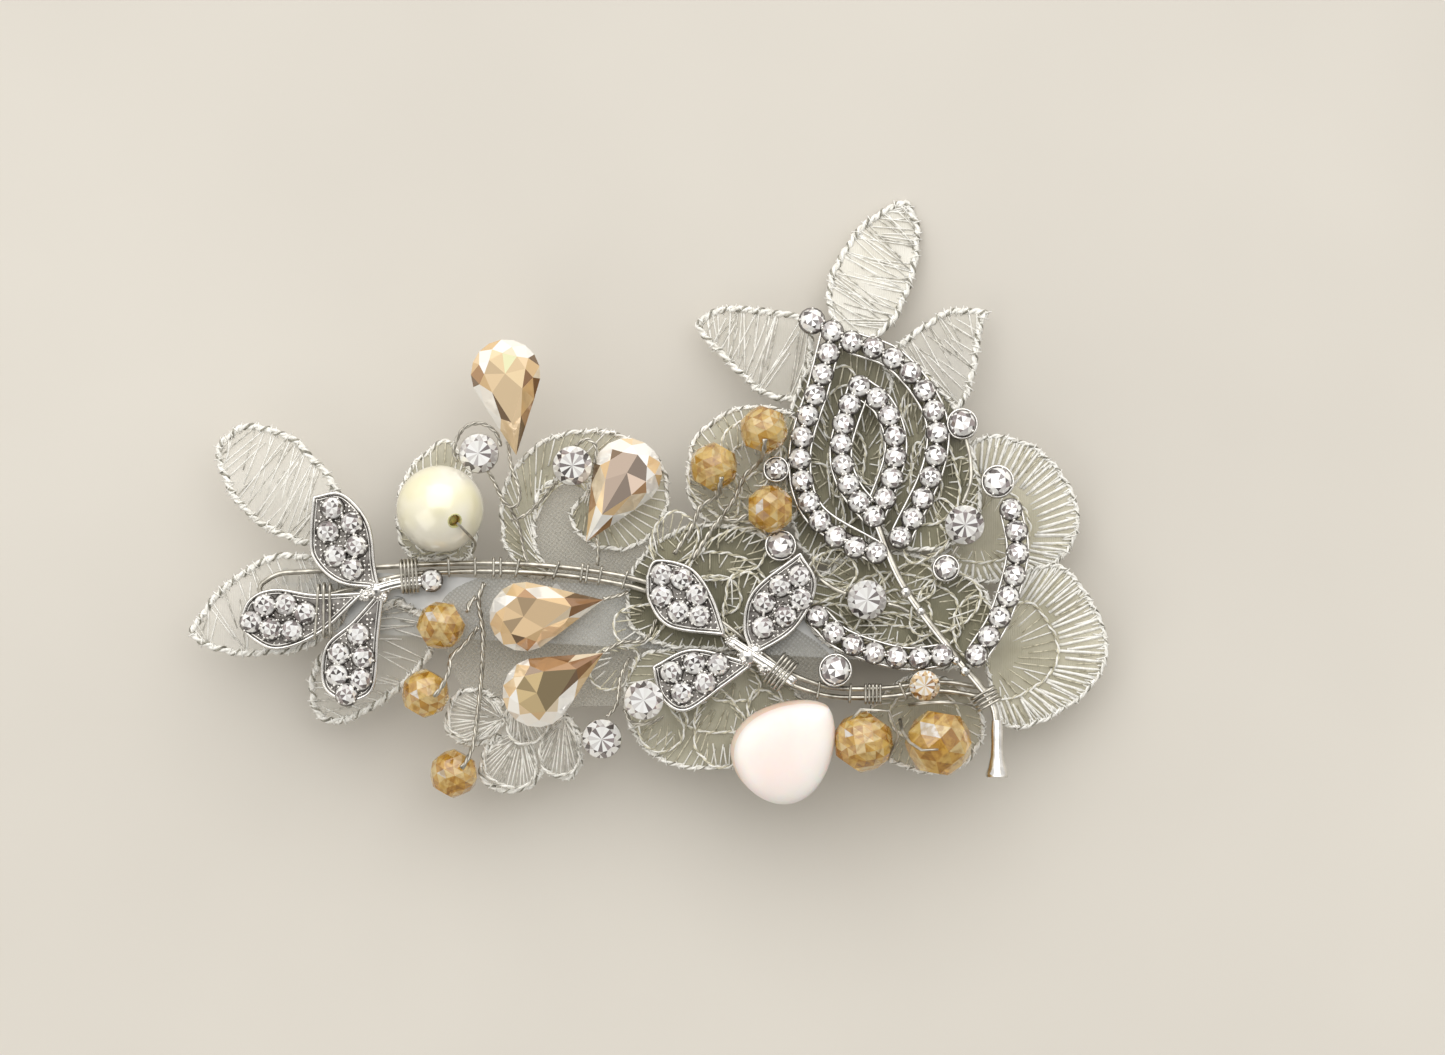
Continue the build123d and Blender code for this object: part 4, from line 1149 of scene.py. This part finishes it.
def grains(build, ring, stones_here, rng):
    """Fine silver beads over the ground inside a ring, wherever no stone sits."""
    low, high = ring.min(axis=0), ring.max(axis=0)
    step = 0.56 * MM
    for x in np.arange(low[0], high[0], step):
        for y in np.arange(low[1], high[1], step):
            px = x + rng.uniform(-0.12, 0.12) * MM
            py = y + rng.uniform(-0.12, 0.12) * MM
            if not inside((px, py), ring):
                continue
            if min(math.dist((px, py), stone) for stone in stones_here) < 1.25 * MM:
                continue
            place = Matrix.Translation((px, py, (LEAF_TOP - 0.14) * MM))
            build.add(ball(rng.uniform(0.19, 0.27) * MM, place, 3, 6))


def leaf_plate(build, strokes, stones_here, rng):
    """One pavé leaf: a dark sunk ground inside a bright rim, beaded between its stones."""
    depth = 0.62
    lines = [level_line(stroke, LEAF_TOP)[:-1] for stroke in strokes]
    ring = resample(np.vstack(lines), 0.35 * MM, closed=True)
    count = len(ring)
    plan = [Vector((p[0], p[1])) for p in ring]
    edges = [(i, (i + 1) % count) for i in range(count)]
    corners, _, faces, *_ = delaunay_2d_cdt(plan, edges, [], 1, 1e-7)
    for sunk, turned in ((0.12, False), (depth, True)):
        ground = [(p.x, p.y, (LEAF_TOP - sunk) * MM) for p in corners]
        build.add((ground, [face[::-1] if turned else face for face in faces]), 1)
    build.add((np.vstack([ring - UP * depth * MM, ring]), band(0, count, count)))
    rim_of(build, ring, 0.2 * MM, 0.04 * MM)
    rim_of(build, inset(ring, 0.36 * MM), 0.1 * MM, -0.04 * MM)
    grains(build, inset(ring, 0.5 * MM), stones_here, rng)


def hub(build, x, y, size, rng):
    """One flattened blob of solder with fine grains on it."""
    spot = Matrix.Translation((x * MM, y * MM, HUB * MM)) @ Matrix.Diagonal((1, 1, 0.7, 1))
    build.add(ball(size * MM, spot, 8, 14))
    for _ in range(18):
        around, rise = rng.uniform(0, 2 * math.pi), rng.uniform(0.1, 0.9)
        flat = size * math.sqrt(1 - rise * rise) * MM
        grain = Matrix.Translation((flat * math.cos(around), flat * math.sin(around), size * rise * MM))
        build.add(ball(rng.uniform(0.17, 0.25) * MM, spot @ grain, 3, 6))


def pave_casting(node, leaves, stem, blobs, tip_stone=None):
    """A three-leaf casting: pavé leaves, a ridged stem, solder blobs and perhaps a stone at the end."""
    rng = random.Random(3)
    build = Build()
    set_here = islands(node.replace("casting", "stones"))
    stones_here = [tuple(place.translation)[:2] for place, _, _ in set_here]
    for strokes in leaves:
        leaf_plate(build, strokes, stones_here, rng)
    line = level_line(stem, HUB)
    build.add(tube(line, 0.62 * MM, 10, ends=0.7))
    side, lift = frames(line, False)
    for shift in (-0.38, 0.38):
        build.add(tube(line + (side * shift + lift * 0.4) * MM, 0.2 * MM, 5))
    for x, y, size in blobs:
        hub(build, x, y, size, rng)
    if tip_stone:
        spot = Matrix.Translation((tip_stone[0] * MM, tip_stone[1] * MM, HUB * MM))
        build.add(ball(1.15 * MM, spot @ Matrix.Diagonal((1, 1, 0.6, 1)), 8, 14), 1)
        cut = Build()
        set_stone(cut, build, spot @ Matrix.Translation((0, 0, 0.3 * MM)), 1.1 * MM, 0.9 * MM, rng)
        build.add((cut.points, cut.faces), 2, cut.shades)
    casting = build.piece(node + "_relief", [SILVER, OXIDE, CLEAR], slot="antique_silver", replaces=[node])
    for polygon in casting.data.polygons:
        if polygon.material_index == 2:
            polygon.use_smooth = False


# The feather's rows as smooth lines through a few places, in mm, as in the CAD.
LEFT_ROW = [(22.6, 32.4), (21.1, 26.4), (18.9, 18.4), (20.5, 11.7), (27.6, 7.1)]
RIGHT_ROW = [(24.8, 31.2), (30.0, 29.0), (34.2, 23.2), (34.1, 17.0), (30.3, 8.8)]
INNER_RIGHT = [(25.7, 26.1), (28.6, 23.6), (29.8, 18.6), (27.3, 11.2)]
INNER_LEFT = [(27.3, 11.2), (24.4, 15.0), (23.6, 19.4), (25.7, 26.1)]
RIGHT_ARM = [(42.9, 12.0), (43.6, 6.9), (41.7, 0.1), (38.9, -4.6)]
LEFT_ARM = [(20.9, -0.2), (24.0, -2.9), (30.4, -4.9), (35.0, -4.6)]
FEATHER_STEM = [(27.3, 11.2), (30.6, 3.4), (36.2, -4.3), (40.4, -9.6), (41.2, -12.4)]


def on_feather(points, lift):
    """A smooth line in the feather's plane."""
    return np.array([tuple(FEATHER @ Vector(p)) for p in level_line(points, lift)])


# The solder blobs on the feather: x, y, size; and its end tube's y and radius from top to flare.
FEATHER_BLOBS = [
    (30.9, 2.6, 0.75), (32.6, 0.4, 0.6), (37.6, -6.4, 0.7), (39.0, -5.6, 0.5), (36.6, -5.2, 0.6),
]
END_TUBE = [
    (-12.0, 0.62), (-13.4, 0.7), (-14.6, 0.66), (-16.0, 0.74), (-17.2, 1.0), (-18.1, 1.3), (-18.45, 1.2),
]


def end_tube():
    """The turned tube at the feather's foot, flaring downwards."""
    axis_x, axis_z = 41.2, 2.9
    sides = 20
    points, faces = [], []
    for y, radius in END_TUBE:
        for across, up in spokes(sides):
            spot = Vector((axis_x + radius * across, y, axis_z + radius * up))
            points.append(tuple(FEATHER @ (spot * MM)))
    last = len(END_TUBE) - 1
    for i in range(last):
        faces += band(i * sides, (i + 1) * sides, sides, turned=True)
    faces.append(tuple(range(last * sides, len(points))))
    return points, faces


def feather():
    """The openwork leaf: dark channel, rails on both sides of each row, ridged stem and tube."""
    build = Build()
    for row in (LEFT_ROW, RIGHT_ROW, INNER_RIGHT, INNER_LEFT, RIGHT_ARM, LEFT_ARM):
        base = on_feather(row, 2.9)
        side, lift = frames(base, False)
        build.add(tube(base, 0.5 * MM, 6), 1)
        for shift in (-1.2, 1.2):
            build.add(tube(base + side * shift * MM + lift * 0.3 * MM, 0.16 * MM, 6))
    stem = on_feather(FEATHER_STEM, 3.0)
    side, lift = frames(stem, False)
    build.add(tube(stem, 0.42 * MM, 10), 2)
    build.add(tube(stem + (side * 0.2 + lift * 0.32) * MM, 0.16 * MM, 6))
    for x, y, size in FEATHER_BLOBS:
        build.add(ball(size * MM, FEATHER @ Matrix.Translation((x * MM, y * MM, 3.1 * MM)), 6, 10))
    build.add(end_tube())
    build.piece("feather_relief", [SILVER, OXIDE, WIRE], slot="antique_silver", replaces=["feather_casting"])


def side_settings():
    """The side stones' bezels: a dark stepped cup with a bright rolled rim."""
    build = Build()
    for place, radius, height in islands("side_stone_cups", FEATHER):
        for z, grow, wire, slot in ((0.1, 0.92, 0.2, 1), (0.5, 0.96, 0.2, 1), (0.95, 0.98, 0.16, 0)):
            build.add(hoop(place, radius * grow, z * height, wire * MM, 6, 1), slot)
    build.piece("side_stone_bezels", [SILVER, OXIDE], slot="antique_silver", replaces=["side_stone_cups"])


# ---------------------------------------------------------------- wires

# Each stalk as lines of x, y and height in mm, as in the CAD.
TWISTED = {
    "left_bead_wire": [
        [(-17.0, 3.9, 11.0), (-17.6, 1.8, 11.2), (-17.1, -1.9, 11.3), (-17.3, -7.0, 11.2),
         (-17.8, -11.6, 10.9), (-18.2, -14.4, 11.2), (-18.9, -16.2, 12.2), (-19.5, -17.1, 12.5)],
        [(-17.9, 2.3, 11.6), (-18.6, 1.6, 12.0), (-18.8, 0.6, 12.4)],
        [(-17.6, -1.1, 12.1), (-19.1, -3.0, 12.4), (-20.6, -4.4, 13.4), (-20.9, -6.2, 14.6),
         (-21.7, -7.9, 14.9), (-22.5, -8.9, 14.9)],
    ],
    "right_bead_wire": [
        [(14.9, 20.2, 14.9), (14.8, 19.0, 14.3), (14.6, 18.0, 12.9), (13.9, 17.2, 11.7),
         (12.6, 16.0, 11.4), (11.3, 13.2, 11.3), (8.8, 9.8, 11.2), (6.7, 6.6, 11.3)],
        [(10.0, 15.9, 14.7), (9.8, 14.8, 14.1), (9.6, 13.8, 12.6), (8.6, 13.2, 11.5),
         (7.5, 12.4, 11.4), (6.6, 10.2, 11.3), (4.6, 7.2, 11.3)],
        [(13.6, 11.9, 12.5), (12.7, 11.5, 12.4), (11.8, 11.0, 12.3), (10.9, 11.0, 12.2),
         (10.2, 11.4, 11.8)],
    ],
    "large_bead_wires": [
        [(23.9, -12.4, 13.4), (24.6, -11.2, 14.6), (26.2, -10.2, 15.0), (28.4, -10.3, 15.0),
         (29.9, -11.4, 14.8), (29.9, -13.8, 14.4), (28.8, -16.2, 13.4)],
        [(30.2, -11.5, 12.8), (30.5, -13.0, 14.2), (31.6, -14.4, 15.9), (33.0, -15.0, 16.7),
         (34.4, -14.8, 16.95)],
        [(31.2, -9.9, 13.4), (33.2, -9.6, 14.6), (36.2, -9.6, 14.2), (38.4, -10.0, 12.6)],
    ],
    "upper_crystal_wires": [
        [(-14.3, 19.9, 10.9), (-13.9, 17.2, 11.6), (-13.0, 14.6, 12.0), (-13.1, 12.9, 12.0),
         (-14.1, 12.6, 12.0), (-15.1, 13.9, 12.1), (-15.8, 15.4, 12.3), (-16.6, 16.8, 12.4)],
        [(-14.0, 12.4, 11.4), (-13.0, 10.2, 11.0), (-12.5, 7.6, 10.9), (-12.0, 5.8, 11.0)],
        [(-20.0, 17.6, 13.2), (-20.3, 19.2, 13.5), (-19.2, 21.4, 13.6), (-17.3, 22.0, 13.6),
         (-15.6, 21.0, 13.5), (-15.0, 19.4, 13.3)],
        [(-8.7, 15.4, 12.2), (-10.4, 13.4, 11.4), (-12.2, 11.7, 11.0), (-13.9, 11.0, 11.0)],
        [(-6.6, 19.4, 13.0), (-5.3, 20.2, 13.4), (-4.2, 19.3, 13.4), (-4.4, 17.4, 13.0)],
        [(-4.4, 9.4, 11.2), (-4.0, 7.8, 11.4), (-4.1, 5.9, 11.0)],
    ],
    "lower_crystal_wires": [
        [(-3.4, 2.1, 12.4), (-1.6, 2.5, 11.8), (-0.6, 2.9, 11.2)],
        [(-3.4, -3.9, 12.4), (-1.3, -2.8, 11.6), (1.3, -2.6, 11.0), (2.6, -0.2, 10.8)],
        [(-1.0, -10.4, 13.6), (-0.2, -11.8, 13.8), (1.6, -12.0, 13.8), (3.4, -11.2, 13.6)],
        [(-3.0, -11.3, 11.9), (-1.9, -9.8, 11.2), (-1.5, -7.0, 10.8), (-0.5, -4.6, 10.8)],
    ],
}
# The radius and pitch of each twist, in mm.
TWISTS = {"left_bead_wire": (0.3, 2.4), "right_bead_wire": (0.3, 2.4), "large_bead_wires": (0.2, 30.0)}
FINE_TWIST = (0.25, 1.9)


def twisted_wires():
    """Two strands twisted together along each stalk."""
    for node, lines in TWISTED.items():
        radius, pitch = TWISTS.get(node, FINE_TWIST)
        build = Build()
        for line in lines:
            path = smooth_line(np.array(line) * MM)
            rope(build, path, radius * MM, pitch * MM, (0, 0), sides=8)
        build.piece(node + "_twist", [WIRE], slot="silver_wire", replaces=[node])


def dress_cad_nodes():
    """Procedural metal on the CAD pieces that keep their own shape."""
    steel = ("clip_base_bar", "clip_arm", "hinge_pin", "tension_bow", "latch_ear_front", "latch_ear_back")
    wires = (
        "vine_frame_wire", "vine_bindings", "branch_bindings", "left_end_bindings", "pearl_wire",
        "right_chaton_wires",
    )
    for group, material in ((steel, STEEL), (wires, WIRE), (("cabochon_setting",), SILVER)):
        for node in group:
            NODES[node].data.materials.clear()
            NODES[node].data.materials.append(material)


# ---------------------------------------------------------------- stage


def floor():
    """A plain pale floor with a barely uneven tone."""
    material, shader, tree = principled("floor", (0.61, 0.57, 0.53), 0.55)
    cloudy(tree, shader, 14, [(0.2, (0.625, 0.59, 0.535)), (0.8, (0.70, 0.665, 0.605))], 3)
    half = 3.0
    corners = [(-half, -half, 0), (half, -half, 0), (half, half, 0), (-half, half, 0)]
    mesh = bpy.data.meshes.new("floor")
    mesh.from_pydata(corners, [], [(0, 1, 2, 3)])
    mesh.materials.append(material)
    obj = bpy.data.objects.new("floor", mesh)
    bpy.context.scene.collection.objects.link(obj)


def lamp(name, place, target, size, power, colour):
    """A soft square light aimed at a point."""
    light = bpy.data.lights.new(name, "AREA")
    light.shape = "SQUARE"
    light.size = size
    light.energy = power
    light.color = colour
    obj = bpy.data.objects.new(name, light)
    obj.location = place
    obj.rotation_euler = (Vector(target) - Vector(place)).to_track_quat("-Z", "Y").to_euler()
    bpy.context.scene.collection.objects.link(obj)


def lights():
    """A window beyond the top leaves, a weak fill and a soft sky."""
    lamp("window", (0.0, 0.7, 0.95), (0, 0, 0), 1.5, 9.5, (1.0, 0.985, 0.95))
    lamp("fill", (-0.6, -0.45, 0.7), (0, 0, 0), 0.8, 1.8, (1.0, 0.97, 0.9))
    world = bpy.data.worlds.new("room")
    world.use_nodes = True
    tree = world.node_tree
    place = tree.nodes.new("ShaderNodeTexCoord")
    split = tree.nodes.new("ShaderNodeSeparateXYZ")
    tree.links.new(place.outputs["Generated"], split.inputs["Vector"])
    stops = [(0.2, (0.34, 0.33, 0.31)), (0.55, (0.72, 0.71, 0.69)), (0.9, (1.0, 0.99, 0.97))]
    tone = ramp(tree, remap(tree, split.outputs["Y"], From_Min=-1), stops)
    # A dark patch high up towards -y, as of someone leaning over the table.
    shade = tree.nodes.new("ShaderNodeVectorMath")
    shade.operation = "DOT_PRODUCT"
    shade.inputs[1].default_value = (0.03, -0.28, 0.96)
    tree.links.new(place.outputs["Generated"], shade.inputs[0])
    patch = remap(tree, shade.outputs["Value"], From_Min=0.93, From_Max=0.975, To_Min=1.0, To_Max=0.3)
    dim = tree.nodes.new("ShaderNodeVectorMath")
    dim.operation = "SCALE"
    tree.links.new(tone.outputs["Color"], dim.inputs[0])
    tree.links.new(patch, dim.inputs["Scale"])
    tree.links.new(dim.outputs["Vector"], tree.nodes["Background"].inputs["Color"])
    tree.nodes["Background"].inputs["Strength"].default_value = 1.08
    bpy.context.scene.world = world


def camera():
    """Straight above, framing 164 mm by 120 mm at the height of the stones."""
    data = bpy.data.cameras.new("camera")
    data.lens = 150
    data.sensor_width = 36
    distance = 164.2 * MM * data.lens / data.sensor_width
    obj = bpy.data.objects.new("camera", data)
    obj.location = (10.1 * MM, 10.2 * MM, 11 * MM + distance)
    data.clip_start = 0.01
    bpy.context.scene.collection.objects.link(obj)
    bpy.context.scene.camera = obj


# Each leaf: the end of its name, its tip and root in mm, passes of thread and cloth.
LEAVES = [
    ("left_upper", (-47.0, 20.0), (-32.3, 10.5), 4, LEAF_CLOTH),
    ("left_middle", (-50.6, -1.8), (-32.3, 3.1), 3, LEAF_CLOTH),
    ("left_lower", (-34.0, -11.6), (-27.0, 1.9), 3, LEAF_CLOTH),
    ("top_left", (7.3, 33.4), (19.6, 28.0), 4, LEAF_CLOTH),
    ("top_centre", (31.2, 47.6), (24.4, 31.6), 7, LIT_CLOTH),
    ("top_right", (40.2, 34.7), (31.0, 26.5), 4, LEAF_CLOTH),
]
# How far towards a petal's root its bands of stitches end.
FOUR_BANDS, THREE_BANDS, WIDE_BANDS = (0.0, 0.36, 0.68, 0.9), (0.0, 0.4, 0.9), (0.0, 0.45, 0.9)
# Each petal: the end of its name, where its stitches meet in mm, cloth, bands, and whether a dense rim.
PETALS = [
    ("pearl", (-22.2, 8.0), SHADED_CLOTH, THREE_BANDS, False),
    ("right_beads", (15.0, 13.0), SHADED_CLOTH, FOUR_BANDS, False),
    ("middle", (9.0, 2.0), DEEP_SHADE_CLOTH, FOUR_BANDS, False),
    ("lower", (12.0, -6.0), SHADED_CLOTH, FOUR_BANDS, False),
    ("lower_right", (33.0, -9.5), SHADED_CLOTH, THREE_BANDS, False),
    ("feather_left", (24.5, 17.0), DEEP_SHADE_CLOTH, FOUR_BANDS, False),
    ("feather_right", (33.0, 15.5), DEEP_SHADE_CLOTH, FOUR_BANDS, False),
    ("feather_lower", (30.5, 1.0), DEEP_SHADE_CLOTH, FOUR_BANDS, False),
    ("right_upper", (38.6, 8.8), HALF_SHADED_CLOTH, WIDE_BANDS, True),
    ("right_lower", (40.2, -4.6), HALF_SHADED_CLOTH, THREE_BANDS, True),
]


def lace_work():
    """All the lace, each piece with its own seed."""
    for seed, (name, tip, root, passes, material) in enumerate(LEAVES, 1):
        leaf("lace_leaf_" + name, tip, root, seed, passes, material)
    for seed, (name, focus, material, bands, dense) in enumerate(PETALS, 7):
        petal("lace_petal_" + name, focus, seed, material, bands, dense)
    swirl()
    flower()
    small_petals()
    tulle()


def metal_and_stones():
    """All the castings, stones and beads."""
    for node in ("left_branch_stones", "middle_branch_stones"):
        stones(node)
    for node in ("feather_outer_stones", "feather_inner_stones", "feather_arm_stones", "side_stones"):
        stones(node, FEATHER)
    pave_casting(
        "left_branch_casting", LEFT_LEAVES, [(-30.2, 2.9), (-26.6, 3.9), (-23.4, 4.2)],
        [(-29.2, 3.1, 1.0), (-28.0, 3.6, 0.8), (-30.4, 2.6, 0.7), (-28.4, 2.4, 0.6)], (-22.9, 4.2),
    )
    pave_casting(
        "middle_branch_casting", MIDDLE_LEAVES, [(11.0, -2.6), (12.8, -3.8), (15.0, -5.2), (18.3, -7.4)],
        [(12.9, -4.4, 1.1), (11.2, -2.8, 0.8), (13.8, -3.8, 0.8), (14.9, -5.6, 0.9)],
    )
    feather()
    side_settings()
    for node in ("chatons_left", "chatons_right"):
        chatons(node, CLEAR_SHADES, CLEAR, "clear_crystal")
    chatons("champagne_chaton", CHAMPAGNE_SHADES, CHAMPAGNE, "champagne_crystal")
    for seed, node in enumerate(PEARS):
        pear(node, 40 + seed)
    beads("amber_beads_left", (60, 30, 60), 12, 6, 2)
    beads("amber_beads_right", (60, 70, 0), 12, 6, 3)
    beads("amber_large_left", (55,), 14, 8, 4)
    beads("amber_large_right", (80,), 10, 5, 5)
    pearl()
    cabochon()


camera()
lights()
floor()
lace_work()
metal_and_stones()
twisted_wires()
dress_cad_nodes()
bpy.context.scene.view_settings.view_transform = "Standard"
